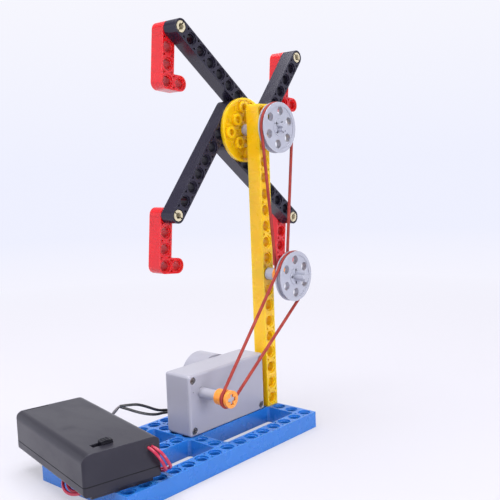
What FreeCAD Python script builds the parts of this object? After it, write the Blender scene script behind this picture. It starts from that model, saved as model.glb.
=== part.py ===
import FreeCAD, Part
import math
import os

import Sketcher

# A belt-driven carousel wheel on a slotted construction base: a geared motor turns a small
# pulley, two round belts step the speed down 3:1 twice, and four L-shaped seats hang from
# the arms of the wheel.  Origin: centre of the base's underside.  +X runs along the base
# towards the tower, +Y away from the pulley side, +Z up.  Millimetres.

V = FreeCAD.Vector
ALONG_Y = V(0, 1, 0)
ALONG_Z = V(0, 0, 1)
doc = FreeCAD.newDocument("pulley_demonstrator")
sheet = doc.addObject("Spreadsheet::Sheet", "sizes")
finished = []


class Size:
    """A length that carries its number and the spreadsheet formula behind it."""

    def __init__(self, number, formula=None):
        self.number = number
        self.formula = repr(number) if formula is None else formula

    @staticmethod
    def of(value):
        return value if isinstance(value, Size) else Size(float(value))

    def mix(self, other, sign, number):
        return Size(number, f"({self.formula} {sign} {Size.of(other).formula})")

    def __add__(self, other):
        return self.mix(other, "+", self.number + Size.of(other).number)

    def __sub__(self, other):
        return self.mix(other, "-", self.number - Size.of(other).number)

    def __mul__(self, other):
        return self.mix(other, "*", self.number * Size.of(other).number)

    def __truediv__(self, other):
        return self.mix(other, "/", self.number / Size.of(other).number)

    def __radd__(self, other):
        return Size.of(other) + self

    def __rsub__(self, other):
        return Size.of(other) - self

    def __rmul__(self, other):
        return Size.of(other) * self

    def __neg__(self):
        return Size(-self.number, f"(-{self.formula})")

    def __float__(self):
        return float(self.number)


def size(alias, number):
    """Writes one driving size into the next cell of the sheet and returns it."""
    cell = f"A{size.row}"
    sheet.set(cell, str(number))
    sheet.setAlias(cell, alias)
    size.row += 1
    return Size(number, f"sizes.{alias}")


size.row = 1

# ---- the hole grid that every construction piece shares
pitch = size("pitch", 8.0)
beam_width = size("beam_width", 7.5)
beam_thickness = size("beam_thickness", 7.8)
shaft_diameter = size("shaft_diameter", 4.8)
shaft_fit = size("shaft_fit", 0.05)
rim_diameter = size("rim_diameter", 6.2)
rim_depth = size("rim_depth", 0.8)
mark_depth = size("mark_depth", 1.2)
mark_reach = size("mark_reach", 1.2)
mark_margin = size("mark_margin", 0.9)
hole_radius = shaft_diameter / 2 + shaft_fit
shaft_radius = shaft_diameter / 2
rim_radius = rim_diameter / 2
end_radius = beam_width / 2

# ---- base frame and tower, counted in holes
base_columns = 15
base_rows = 7
tower_holes = 19
upper_axle_hole = 18
lower_axle_hole = 9
window_corner = size("window_corner", 1.6)
bracket_foot_holes = 2

# ---- axles, pulleys and belts
web_thickness = size("web_thickness", 1.8)
web_fit = size("web_fit", 0.04)
upper_axle_length = size("upper_axle_length", 32.0)
lower_axle_length = size("lower_axle_length", 32.0)
upper_axle_stub = size("upper_axle_stub", 3.0)
lower_axle_stub = size("lower_axle_stub", 5.8)
running_gap = size("running_gap", 0.3)
pulley_diameter = size("pulley_diameter", 24.4)
pulley_rim_width = size("pulley_rim_width", 3.4)
pulley_web = size("pulley_web", 2.6)
pulley_hub_length = size("pulley_hub_length", 4.0)
pulley_hub_diameter = size("pulley_hub_diameter", 8.4)
pulley_rim_wall = size("pulley_rim_wall", 1.8)
pulley_hole_diameter = size("pulley_hole_diameter", 4.2)
pulley_hole_circle = size("pulley_hole_circle", 8.0)
pulley_slot_reach = size("pulley_slot_reach", 3.7)
disc_slot_reach = size("disc_slot_reach", 2.9)
slot_width = size("slot_width", 1.2)
small_pulley_length = size("small_pulley_length", 8.0)
small_groove_place = size("small_groove_place", 2.9)
small_flange_diameter = size("small_flange_diameter", 7.9)
small_flange_width = size("small_flange_width", 0.9)
small_hub_diameter = size("small_hub_diameter", 7.3)
belt_diameter = size("belt_diameter", 1.5)
belt_gap = size("belt_gap", 0.1)
big_belt_radius = size("big_belt_radius", 11.7)
small_belt_radius = size("small_belt_radius", 3.9)
groove_flare = size("groove_flare", 0.35)
upper_ring_length = size("upper_ring_length", 5.9)
bush_diameter = size("bush_diameter", 7.4)
spacer_diameter = size("spacer_diameter", 5.8)
half_bush_length = size("half_bush_length", 4.0)

# ---- wheel
disc_diameter = size("disc_diameter", 32.0)
disc_thickness = size("disc_thickness", 1.9)
disc_plate = size("disc_plate", 1.0)
disc_rim_wall = size("disc_rim_wall", 1.2)
tube_diameter = size("tube_diameter", 5.8)
tube_bore = size("tube_bore", 3.4)
tube_proud = size("tube_proud", 1.2)
hub_tube_diameter = size("hub_tube_diameter", 6.5)
stud_height = size("stud_height", 1.7)
dimple_diameter = size("dimple_diameter", 2.6)
dimple_depth = size("dimple_depth", 0.5)
wheel_turn = 141.6
arm_holes = 9
seat_leg_holes = 4
seat_gap = size("seat_gap", 0.4)
collar_thickness = size("collar_thickness", 1.6)
collar_diameter = size("collar_diameter", 5.9)
lip_diameter = size("lip_diameter", 5.3)
lip_length = size("lip_length", 0.6)
pin_bore = size("pin_bore", 3.0)
pin_slot = size("pin_slot", 0.7)
pin_slot_length = size("pin_slot_length", 4.6)

# ---- motor gearbox
gearbox_length = size("gearbox_length", 52.0)
gearbox_height = size("gearbox_height", 28.8)
gearbox_depth = size("gearbox_depth", 16.0)
gearbox_wall = size("gearbox_wall", 1.5)
tower_clearance = size("tower_clearance", 2.65)
cover_thickness = size("cover_thickness", 1.6)
gearbox_round = size("gearbox_round", 1.3)
screw_inset = size("screw_inset", 2.6)
screw_post_diameter = size("screw_post_diameter", 3.8)
screw_head_diameter = size("screw_head_diameter", 3.0)
screw_head_depth = size("screw_head_depth", 0.9)
screw_shank_diameter = size("screw_shank_diameter", 1.6)
screw_length = size("screw_length", 9.0)
screw_recess = size("screw_recess", 0.3)
screw_seat_gap = size("screw_seat_gap", 0.2)
bearing_depth = size("bearing_depth", 2.25)
peg_length = size("peg_length", 6.0)
peg_setback = size("peg_setback", 2.8)
gland_from_left = size("gland_from_left", 11.3)
gland_height = size("gland_height", 6.2)
gland_lip = size("gland_lip", 0.5)
output_from_left = size("output_from_left", 8.0)
output_height = size("output_height", 19.6)
output_shaft_diameter = size("output_shaft_diameter", 5.0)
output_tenon_diameter = size("output_tenon_diameter", 3.0)
motor_from_left = size("motor_from_left", 33.8)
motor_height = size("motor_height", 17.5)
motor_cap_diameter = size("motor_cap_diameter", 24.0)
motor_cap_length = size("motor_cap_length", 12.3)
motor_cap_wall = size("motor_cap_wall", 1.3)
motor_can_gap = size("motor_can_gap", 0.2)
motor_boss_diameter = size("motor_boss_diameter", 6.0)
motor_shaft_diameter = size("motor_shaft_diameter", 2.0)
gear_pin_diameter = size("gear_pin_diameter", 2.0)
tooth_module = size("tooth_module", 0.5)
gear_face = size("gear_face", 2.6)
gear_step = size("gear_step", 3.4)
tooth_play = size("tooth_play", 0.14)
pinion_teeth = 12
first_wheel_teeth = 30
second_wheel_teeth = 24
output_teeth = 22
first_stage_angle = 200.0
motor_gland_diameter = size("motor_gland_diameter", 4.4)
motor_gland_length = size("motor_gland_length", 2.0)

# ---- battery box, in its own frame: X across, Y along its length, Z up from its feet
box_foot = size("box_foot", 1.7)
box_seam = size("box_seam", 5.6)
box_wall = size("box_wall", 1.3)
box_end_wall = size("box_end_wall", 1.2)
box_top_wall = size("box_top_wall", 1.1)
box_floor = size("box_floor", 0.9)
box_edge = size("box_edge", 3.5)
box_corner = size("box_corner", 1.2)
box_partition = size("box_partition", 0.9)
box_yaw = 11.6
box_centre_x = -49.7
box_centre_y = 10.83
foot_width = size("foot_width", 3.0)
foot_front_inset = size("foot_front_inset", 2.75)
foot_rear_place = size("foot_rear_place", 13.0)
notch_width = size("notch_width", 10.4)
notch_depth = size("notch_depth", 0.8)
notch_place = size("notch_place", -6.9)
cell_diameter = size("cell_diameter", 14.2)
cell_length = size("cell_length", 50.5)
cell_spacing = size("cell_spacing", 14.6)
cell_room_beside = size("cell_room_beside", 1.0)
cell_room_above = size("cell_room_above", 0.2)
nub_diameter = size("nub_diameter", 5.4)
nub_height = size("nub_height", 1.2)
contact_thickness = size("contact_thickness", 0.4)
contact_height = size("contact_height", 10.0)
spring_wire = size("spring_wire", 0.6)
spring_diameter = size("spring_diameter", 7.0)
spring_taper = size("spring_taper", 0.36)
spring_overlap = size("spring_overlap", 0.012)
spring_turns = 4
switch_bay = size("switch_bay", 11.5)
switch_travel = size("switch_travel", 3.4)
slider_length = size("slider_length", 5.0)
slider_width = size("slider_width", 3.2)
slider_proud = size("slider_proud", 1.6)
slider_gap = size("slider_gap", 0.2)
slider_stem = size("slider_stem", 1.6)
switch_depth = size("switch_depth", 3.6)
switch_place_x = size("switch_place_x", -5.3)
lid_screw_diameter = size("lid_screw_diameter", 2.0)
lid_screw_head = size("lid_screw_head", 3.6)
lid_post_diameter = size("lid_post_diameter", 4.2)
lid_boss_wall = size("lid_boss_wall", 0.4)
lid_screw_sink = size("lid_screw_sink", 1.3)
lid_screw_cap = size("lid_screw_cap", 1.0)
lead_diameter = size("lead_diameter", 1.3)
lead_spacing = size("lead_spacing", 1.6)
lead_outlet_x = size("lead_outlet_x", 11.9)
lead_outlet_z = size("lead_outlet_z", 14.4)
outlet_width = size("outlet_width", 3.6)
outlet_height = size("outlet_height", 2.2)

# ---- places that follow from those sizes
base_top = float(beam_thickness)
tower_x = float(pitch) * (base_columns - 1) / 2
upper_axle_z = base_top + float(pitch) * (upper_axle_hole - 0.5)
lower_axle_z = base_top + float(pitch) * (lower_axle_hole - 0.5)
tower_face = float(beam_thickness) / 2
box_place = FreeCAD.Placement(V(box_centre_x, box_centre_y, base_top), FreeCAD.Rotation(ALONG_Z, -box_yaw))
cell_bay = cell_length + contact_thickness * 2 + spring_wire * spring_turns
box_length = cell_bay + box_partition + switch_bay + box_end_wall * 2
box_width = cell_spacing + cell_diameter + (box_wall + cell_room_beside) * 2
cell_rest = box_foot + box_floor + shaft_fit * 2
box_height = cell_rest + cell_diameter + cell_room_above + box_top_wall


# ---- drawing helpers
def bind(item, path, value):
    """Ties a property to its spreadsheet formula."""
    item.setExpression(path, Size.of(value).formula)


def new_body(label, listed=True):
    """An empty body; a listed one is a finished piece."""
    body = doc.addObject("PartDesign::Body", label)
    body.Label = label
    if listed:
        finished.append(body)
    return body


def plane_of(body, role):
    """The body's own origin plane or axis of that role."""
    return [feature for feature in body.Origin.OriginFeatures if feature.Role == role][0]


def new_sketch(body, role, offset=0.0):
    """A sketch on one of the body's origin planes, moved along the plane's normal."""
    sketch = body.newObject("Sketcher::SketchObject", f"{body.Name}_sketch")
    sketch.AttachmentSupport = [(plane_of(body, role), "")]
    sketch.MapMode = "FlatFace"
    bind(sketch, ".AttachmentOffset.Base.z", offset)
    return sketch


def fix_point(sketch, geometry, end, across, up):
    """Holds one point of the sketch at distances from its origin."""
    for kind, value in (("DistanceX", across), ("DistanceY", up)):
        rule = Sketcher.Constraint(kind, -1, 1, geometry, end, float(value))
        index = sketch.addConstraint(rule)
        if isinstance(value, Size):
            bind(sketch, f"Constraints[{index}]", value)


def draw_polygon(sketch, points):
    """A closed outline of straight lines through the points."""
    places = [V(float(x), float(y), 0) for x, y in points]
    ends = places[1:] + places[:1]
    lines = [sketch.addGeometry(Part.LineSegment(a, b), False) for a, b in zip(places, ends)]
    for line, following in zip(lines, lines[1:] + lines[:1]):
        sketch.addConstraint(Sketcher.Constraint("Coincident", line, 2, following, 1))
    for line, (x, y) in zip(lines, points):
        fix_point(sketch, line, 1, x, y)


def draw_box(sketch, left, right, low, high):
    """An upright rectangle between four limits."""
    draw_polygon(sketch, [(left, low), (right, low), (right, high), (left, high)])


def hold_radius(sketch, curve, radius):
    """Ties the radius of a circle or an arc."""
    number = sketch.addConstraint(Sketcher.Constraint("Radius", curve, float(radius)))
    bind(sketch, f"Constraints[{number}]", radius)


def draw_circle(sketch, x, y, radius):
    """A circle at a place from the sketch's origin."""
    shape = Part.Circle(V(float(x), float(y), 0), ALONG_Z, float(radius))
    circle = sketch.addGeometry(shape, False)
    fix_point(sketch, circle, 3, x, y)
    hold_radius(sketch, circle, radius)


def pad(body, sketch, length, towards_back=True, both=False):
    """Thickens a sketch; towards_back turns an XZ sketch's pad to +Y."""
    feature = body.newObject("PartDesign::Pad", f"{body.Name}_pad")
    feature.Profile = sketch
    bind(feature, "Length", length)
    feature.Reversed = towards_back and not both
    feature.Midplane = both
    body.Tip = feature
    return feature


def pocket(body, sketch, length=None, reverse=False):
    """Cuts a sketch to a depth, or right through in both directions."""
    before = body.Tip
    feature = body.newObject("PartDesign::Pocket", f"{body.Name}_pocket")
    feature.Profile = sketch
    if length is None:
        feature.Type = "ThroughAll"
        feature.Midplane = True
    else:
        bind(feature, "Length", length)
        feature.Reversed = reverse
    body.Tip = feature
    doc.recompute()
    if not feature.Shape.Volume < before.Shape.Volume - 1e-6:
        raise ValueError(f"{body.Label}: the pocket cuts nothing")
    return feature


def revolve(body, sketch):
    """Turns a profile about the sketch's upright axis."""
    feature = body.newObject("PartDesign::Revolution", f"{body.Name}_turn")
    feature.Profile = sketch
    feature.ReferenceAxis = (sketch, ["V_Axis"])
    feature.Angle = 360.0
    body.Tip = feature
    return feature


def groove(body, sketch):
    """Turns a profile out of the body about the sketch's upright axis."""
    before = body.Tip
    doc.recompute()
    feature = body.newObject("PartDesign::Groove", f"{body.Name}_groove")
    feature.Profile = sketch
    feature.ReferenceAxis = (sketch, ["V_Axis"])
    feature.Angle = 360.0
    body.Tip = feature
    doc.recompute()
    if not feature.Shape.Volume < before.Shape.Volume - 1e-6:
        raise ValueError(f"{body.Label}: the groove cuts nothing")
    return feature


def repeat(body, features, runs):
    """Repeats features along rows: each run is (axis role, step, count)."""
    many = body.newObject("PartDesign::MultiTransform", f"{body.Name}_rows")
    many.Originals = features
    steps = []
    for role, step, count in runs:
        row = body.newObject("PartDesign::LinearPattern", f"{body.Name}_row")
        row.Direction = (plane_of(body, role), [""])
        bind(row, "Length", step * (count - 1))
        row.Occurrences = count
        steps.append(row)
    many.Transformations = steps
    body.Tip = many
    return many


def drill(body, role, depth, x=0.0, away=0.0, start=0.0):
    """One construction hole: the bore and its shallow rims, turned out about a line of the sketch."""
    profile = [
        (0.0, 0.0),
        (rim_radius, 0.0),
        (rim_radius, rim_depth),
        (hole_radius, rim_depth),
        (hole_radius, depth - rim_depth),
        (rim_radius, depth - rim_depth),
        (rim_radius, depth),
        (0.0, depth),
    ]
    sketch = new_sketch(body, role)
    draw_polygon(sketch, profile)
    bind(sketch, ".AttachmentOffset.Base.x", x)
    bind(sketch, ".AttachmentOffset.Base.y", start)
    bind(sketch, ".AttachmentOffset.Base.z", away)
    return groove(body, sketch)


def turned(label, profile, place, listed=True):
    """A round piece about its own Y axis, from its half profile (radius, distance along)."""
    body = new_body(label, listed)
    sketch = new_sketch(body, "XY_Plane")
    draw_polygon(sketch, profile)
    revolve(body, sketch)
    body.Placement = place
    return body


def at(x, y, z, axis=ALONG_Z, angle=0.0):
    """A placement at a point, turned about an axis."""
    return FreeCAD.Placement(V(float(x), float(y), float(z)), FreeCAD.Rotation(axis, angle))


def tube_profile(outer, length, inner=0.0, start=0.0):
    """Half profile of a plain ring or rod."""
    return [(inner, start), (outer, start), (outer, start + length), (inner, start + length)]


def cross_points(reach, web):
    """The twelve corners of a plus-shaped section."""
    half = web / 2
    arm = [(reach, -half), (reach, half), (half, half)]
    points = []
    for quarter in range(4):
        for x, y in arm:
            turned_once = {0: (x, y), 1: (-y, x), 2: (-x, -y), 3: (y, -x)}
            points.append(turned_once[quarter])
    return points


def cut_cross(body):
    """The plus-shaped hole that a cross axle drives."""
    sketch = new_sketch(body, "XZ_Plane")
    draw_polygon(sketch, cross_points(hole_radius, web_thickness + web_fit * 2))
    return pocket(body, sketch)


def cut_slots(body, reach):
    """Four narrow slots that run on from the cross hole's arms and let the hub spring a little."""
    sketch = new_sketch(body, "XZ_Plane")
    draw_polygon(sketch, cross_points(Size.of(reach), slot_width))
    return pocket(body, sketch)


def block(name, low, high):
    """A box between two corners, with its sides tied to the sheet."""
    item = doc.addObject("Part::Box", name)
    for prop, a, b in zip(("Length", "Width", "Height"), low, high):
        bind(item, prop, Size.of(b) - a)
    for axis, a in zip("xyz", low):
        bind(item, f".Placement.Base.{axis}", a)
    return item


def rod(name, radius, length, place):
    """A cylinder along its own Z axis, put at a placement."""
    item = doc.addObject("Part::Cylinder", name)
    bind(item, "Radius", radius)
    bind(item, "Height", length)
    item.Placement = place
    return item


def standing(x, y, z):
    """A placement that leaves a rod upright."""
    return at(x, y, z)


def lying(x, y, z):
    """A placement that turns a rod along +Y."""
    return at(x, y, z, V(1, 0, 0), -90.0)


def joined(name, items):
    """One solid from several that touch or overlap."""
    fused = doc.addObject("Part::MultiFuse", name)
    fused.Shapes = items
    fused.Refine = True
    return fused


def cut_from(name, item, tools):
    """A solid less one or more tools."""
    cutter = tools[0] if len(tools) == 1 else joined(f"{name}_tools", tools)
    result = doc.addObject("Part::Cut", name)
    result.Base = item
    result.Tool = cutter
    result.Refine = True
    return result


def finish(item, label, place=None):
    """Names a piece and lists it for writing."""
    item.Label = label
    if place is not None:
        item.Placement = place
    finished.append(item)
    return item


def from_shape(label, shape, place=None):
    """A piece whose shape comes from a formula."""
    item = doc.addObject("Part::Feature", label)
    item.Shape = shape
    return finish(item, label, place)


# ---- moulded marks between the holes: two small triangles that point at each other
def cut_marks(body, role, faces, x, y, upright, run):
    """Cuts a pair of triangles about x, y into each face, and repeats them along the beam."""
    outer = beam_width / 2 - mark_margin
    inner = outer - mark_reach
    half = mark_reach * 0.75
    features = []
    for offset, reverse in faces:
        for side in (1, -1):
            corners = [(-half, outer * side), (half, outer * side), (Size(0.0), inner * side)]
            if upright:
                corners = [(v, u) for u, v in corners]
            sketch = new_sketch(body, role, offset)
            draw_polygon(sketch, [(u + x, v + y) for u, v in corners])
            features.append(pocket(body, sketch, mark_depth, reverse))
    if run is not None:
        repeat(body, features, [run])


# ---- base frame: two long rails, a centre rail, end bars and a cross member, all on the grid
def make_base():
    body = new_body("base_frame")
    half_length = pitch * (base_columns / 2)
    half_width = pitch * (base_rows / 2)
    sketch = new_sketch(body, "XY_Plane")
    draw_box(sketch, -half_length, half_length, -half_width, half_width)
    pad(body, sketch, beam_thickness, towards_back=False)

    bay_columns = (base_columns - 1) // 2
    bay_rows = (base_rows - 1) // 2
    left = -pitch * ((base_columns - 1) / 2) + beam_width / 2
    low = -pitch * ((base_rows - 1) / 2) + beam_width / 2
    right = left + pitch * bay_columns - beam_width
    high = low + pitch * bay_rows - beam_width
    opening = new_sketch(body, "XY_Plane")
    draw_rounded_box(opening, left, right, low, high, window_corner)
    windows = pocket(body, opening)
    repeat(body, [windows], [("X_Axis", pitch * bay_columns, 2), ("Y_Axis", pitch * bay_rows, 2)])

    x0 = -pitch * ((base_columns - 1) / 2)
    y0 = -pitch * ((base_rows - 1) / 2)
    rail_hole = drill(body, "XZ_Plane", beam_thickness, x0, -y0)
    repeat(body, [rail_hole], [("X_Axis", pitch, base_columns), ("Y_Axis", pitch * bay_rows, 3)])
    bar_hole = drill(body, "XZ_Plane", beam_thickness, x0, -y0 - pitch)
    runs = [("X_Axis", pitch * bay_columns, 3), ("Y_Axis", pitch, bay_rows - 1)]
    repeat(body, [bar_hole], runs + [("Y_Axis", pitch * bay_rows, 2)])

    for row in (0, bay_rows, 2 * bay_rows):
        run = ("X_Axis", pitch * 2, base_columns // 2)
        cut_marks(body, "XY_Plane", [(beam_thickness, False)], x0 + pitch * 1.5, y0 + pitch * row, False, run)
    return body


def draw_rounded_box(sketch, left, right, low, high, radius):
    """An upright rectangle with round corners: four lines, four arcs that touch them."""
    a, b, c, d, r = float(left), float(right), float(low), float(high), float(radius)
    quarter = math.pi / 2
    centres = [(b - r, c + r, -quarter), (b - r, d - r, 0.0)]
    centres += [(a + r, d - r, quarter), (a + r, c + r, 2 * quarter)]
    arcs = []
    for x, y, start in centres:
        circle = Part.Circle(V(x, y, 0), ALONG_Z, r)
        arcs.append(sketch.addGeometry(Part.ArcOfCircle(circle, start, start + quarter), False))
    sides = [
        (V(a + r, c, 0), V(b - r, c, 0)),
        (V(b, c + r, 0), V(b, d - r, 0)),
        (V(b - r, d, 0), V(a + r, d, 0)),
        (V(a, d - r, 0), V(a, c + r, 0)),
    ]
    lines = [sketch.addGeometry(Part.LineSegment(p, q), False) for p, q in sides]
    for i in range(4):
        sketch.addConstraint(Sketcher.Constraint("Tangent", lines[i], 2, arcs[i], 1))
        sketch.addConstraint(Sketcher.Constraint("Tangent", arcs[i], 2, lines[(i + 1) % 4], 1))
        sketch.addConstraint(Sketcher.Constraint("Vertical" if i % 2 else "Horizontal", lines[i]))
    for i in range(1, 4):
        sketch.addConstraint(Sketcher.Constraint("Equal", arcs[0], arcs[i]))
    bind(sketch, f"Constraints[{sketch.addConstraint(Sketcher.Constraint('Radius', arcs[0], r))}]", radius)
    limits = [("DistanceX", lines[3], left), ("DistanceX", lines[1], right)]
    limits += [("DistanceY", lines[0], low), ("DistanceY", lines[2], high)]
    for kind, line, value in limits:
        rule = Sketcher.Constraint(kind, -1, 1, line, 1, float(value))
        bind(sketch, f"Constraints[{sketch.addConstraint(rule)}]", value)


# ---- straight beams: hole 1 at the body's origin, the rest along +X, bores along +Y
beam_faces = [(0.0, False), (-beam_thickness, True)]


def make_beam(label, holes, place, square=False, mark_step=1):
    body = new_body(label)
    sketch = new_sketch(body, "XZ_Plane")
    if square:
        draw_box(sketch, -pitch / 2, pitch * (holes - 0.5), -beam_width / 2, beam_width / 2)
    else:
        draw_slot(sketch, 0.0, 0.0, pitch * (holes - 1), 0.0)
    pad(body, sketch, beam_thickness)
    hole = drill(body, "XY_Plane", beam_thickness)
    repeat(body, [hole], [("X_Axis", pitch, holes)])
    run = ("X_Axis", pitch * mark_step, (holes - 2) // mark_step + 1)
    cut_marks(body, "XZ_Plane", beam_faces, pitch / 2, Size(0.0), False, run)
    body.Placement = place
    return body


def draw_slot(sketch, x0, y0, x1, y1):
    """A beam's outline with half-round ends about two hole centres on one upright or level line."""
    a, b, r = V(float(x0), float(y0), 0), V(float(x1), float(y1), 0), float(end_radius)
    along = (b - a).normalize()
    side = V(-along.y, along.x, 0) * r
    turn = math.atan2(side.y, side.x)
    first = Part.ArcOfCircle(Part.Circle(a, ALONG_Z, r), turn, turn + math.pi)
    last = Part.ArcOfCircle(Part.Circle(b, ALONG_Z, r), turn + math.pi, turn + 2 * math.pi)
    arcs = [sketch.addGeometry(first, False), sketch.addGeometry(last, False)]
    lines = [
        sketch.addGeometry(Part.LineSegment(a - side, b - side), False),
        sketch.addGeometry(Part.LineSegment(b + side, a + side), False),
    ]
    loop = [arcs[0], lines[0], arcs[1], lines[1]]
    for item, following in zip(loop, loop[1:] + loop[:1]):
        sketch.addConstraint(Sketcher.Constraint("Tangent", item, 2, following, 1))
    fix_point(sketch, arcs[0], 3, x0, y0)
    fix_point(sketch, arcs[1], 3, x1, y1)
    hold_radius(sketch, arcs[0], end_radius)


# ---- seats: an L of four holes and one, hung by its top hole
def make_seat(label, place):
    body = new_body(label)
    foot = -pitch * (seat_leg_holes - 1)
    leg_sketch = new_sketch(body, "XZ_Plane")
    draw_slot(leg_sketch, 0.0, 0.0, 0.0, foot)
    pad(body, leg_sketch, beam_thickness)
    foot_sketch = new_sketch(body, "XZ_Plane")
    draw_slot(foot_sketch, 0.0, foot, pitch, foot)
    pad(body, foot_sketch, beam_thickness)
    leg_hole = drill(body, "XY_Plane", beam_thickness, 0.0, foot)
    repeat(body, [leg_hole], [("Z_Axis", pitch, seat_leg_holes)])
    drill(body, "XY_Plane", beam_thickness, pitch, foot)
    run = ("Z_Axis", pitch, seat_leg_holes - 1)
    cut_marks(body, "XZ_Plane", beam_faces, Size(0.0), foot + pitch / 2, True, run)
    cut_marks(body, "XZ_Plane", beam_faces, pitch / 2, foot, False, None)
    doc.recompute()
    heavy = body.Shape.CenterOfGravity
    hang = math.degrees(math.atan2(heavy.x, -heavy.z))
    body.Placement = at(*place, ALONG_Y, hang)
    return body


# ---- connector pins: two split halves about a collar, centred on the joint between two beams
def make_pin(label, half, place):
    collar = collar_diameter / 2
    lip = lip_diameter / 2
    bore = pin_bore / 2
    edge = collar_thickness / 2
    profile = [
        (bore, -half),
        (lip, -half),
        (lip, -half + lip_length),
        (shaft_radius, -half + rim_depth),
        (shaft_radius, -edge),
        (collar, -edge),
        (collar, edge),
        (shaft_radius, edge),
        (shaft_radius, half - rim_depth),
        (lip, half - lip_length),
        (lip, half),
        (bore, half),
    ]
    body = turned(label, profile, place)
    for low, high in ((-half, -half + pin_slot_length), (half - pin_slot_length, half)):
        slot = new_sketch(body, "XY_Plane")
        draw_box(slot, -pin_slot / 2, pin_slot / 2, low, high)
        pocket(body, slot)
    return body


# ---- cross axles: a plus-shaped bar trimmed to a round outline, front end at the body's origin
def make_cross_axle(label, length, place):
    half = web_thickness / 2
    upright = block(f"{label}_upright", (-half, 0.0, -shaft_radius), (half, length, shaft_radius))
    level = block(f"{label}_level", (-shaft_radius, 0.0, -half), (shaft_radius, length, half))
    outline = rod(f"{label}_outline", shaft_radius, length, lying(0, 0, 0))
    axle = doc.addObject("Part::Common", label)
    axle.Base = joined(f"{label}_cross", [upright, level])
    axle.Tool = outline
    axle.Refine = True
    return finish(axle, label, place)


# ---- big pulleys: a grooved rim, a thin web with six holes and a slotted hub, on a cross axle
def make_big_pulley(label, place):
    rim = pulley_diameter / 2
    middle = pulley_rim_width / 2
    root = big_belt_radius - belt_diameter / 2 - belt_gap
    narrow = belt_diameter / 2 + belt_gap
    wide = narrow + groove_flare
    hub = pulley_hub_diameter / 2
    lip = rim - pulley_rim_wall
    front = middle - pulley_web / 2
    back = middle + pulley_web / 2
    profile = [
        (0.0, 0.0),
        (hub, 0.0),
        (hub, front),
        (lip, front),
        (lip, 0.0),
        (rim, 0.0),
        (rim, middle - wide),
        (root, middle - narrow),
        (root, middle + narrow),
        (rim, middle + wide),
        (rim, pulley_rim_width),
        (lip, pulley_rim_width),
        (lip, back),
        (hub, back),
        (hub, pulley_hub_length),
        (0.0, pulley_hub_length),
    ]
    body = turned(label, profile, place)
    cut_cross(body)
    cut_slots(body, pulley_slot_reach)
    hole = new_sketch(body, "XZ_Plane")
    draw_circle(hole, 0.0, pulley_hole_circle, pulley_hole_diameter / 2)
    first = pocket(body, hole)
    ring = body.newObject("PartDesign::PolarPattern", f"{label}_holes")
    ring.Originals = [first]
    ring.Axis = (plane_of(body, "Y_Axis"), [""])
    ring.Angle = 360.0
    ring.Occurrences = 6
    body.Tip = ring
    return body


# ---- small orange pulleys: a groove near one end between two flanges, and a long hub
def make_small_pulley(label, place, reverse=False):
    """The groove lies near the front end, or near the back end when reversed."""
    flange = small_flange_diameter / 2
    hub = small_hub_diameter / 2
    middle = small_groove_place
    narrow = belt_diameter / 2 + belt_gap
    wide = narrow + groove_flare
    root = small_belt_radius - belt_diameter / 2 - belt_gap
    shoulder = middle + wide + small_flange_width
    profile = [
        (0.0, 0.0),
        (flange, 0.0),
        (flange, middle - wide),
        (root, middle - narrow),
        (root, middle + narrow),
        (flange, middle + wide),
        (flange, shoulder),
        (hub, shoulder),
        (hub, small_pulley_length),
        (0.0, small_pulley_length),
    ]
    if reverse:
        profile = [(radius, small_pulley_length - along) for radius, along in profile]
    body = turned(label, profile, place)
    cut_cross(body)
    return body


def make_bush(label, outer, length, place):
    """A plain ring that grips a cross axle."""
    body = turned(label, tube_profile(outer, length), place)
    cut_cross(body)
    return body


# ---- belts: round cord about two pulleys, four tangent stretches in one plane
def make_belt(label, big_centre, small_centre, y):
    a = V(big_centre[0], y, big_centre[1])
    b = V(small_centre[0], y, small_centre[1])
    big, small = float(big_belt_radius), float(small_belt_radius)
    line = b - a
    lean = math.acos((big - small) / line.Length)
    heading = math.atan2(line.z, line.x)

    def on_circle(centre, radius, angle):
        return centre + V(math.cos(angle), 0, math.sin(angle)) * radius

    near_a, near_b = on_circle(a, big, heading + lean), on_circle(b, small, heading + lean)
    far_a, far_b = on_circle(a, big, heading - lean), on_circle(b, small, heading - lean)
    spine = Part.Wire(
        [
            Part.LineSegment(near_a, near_b).toShape(),
            Part.Arc(near_b, on_circle(b, small, heading), far_b).toShape(),
            Part.LineSegment(far_b, far_a).toShape(),
            Part.Arc(far_a, on_circle(a, big, heading + math.pi), near_a).toShape(),
        ]
    )
    section = Part.Wire(Part.Circle(near_a, near_b - near_a, float(belt_diameter) / 2).toShape())
    return from_shape(label, spine.makePipeShell([section], True, True))


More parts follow.
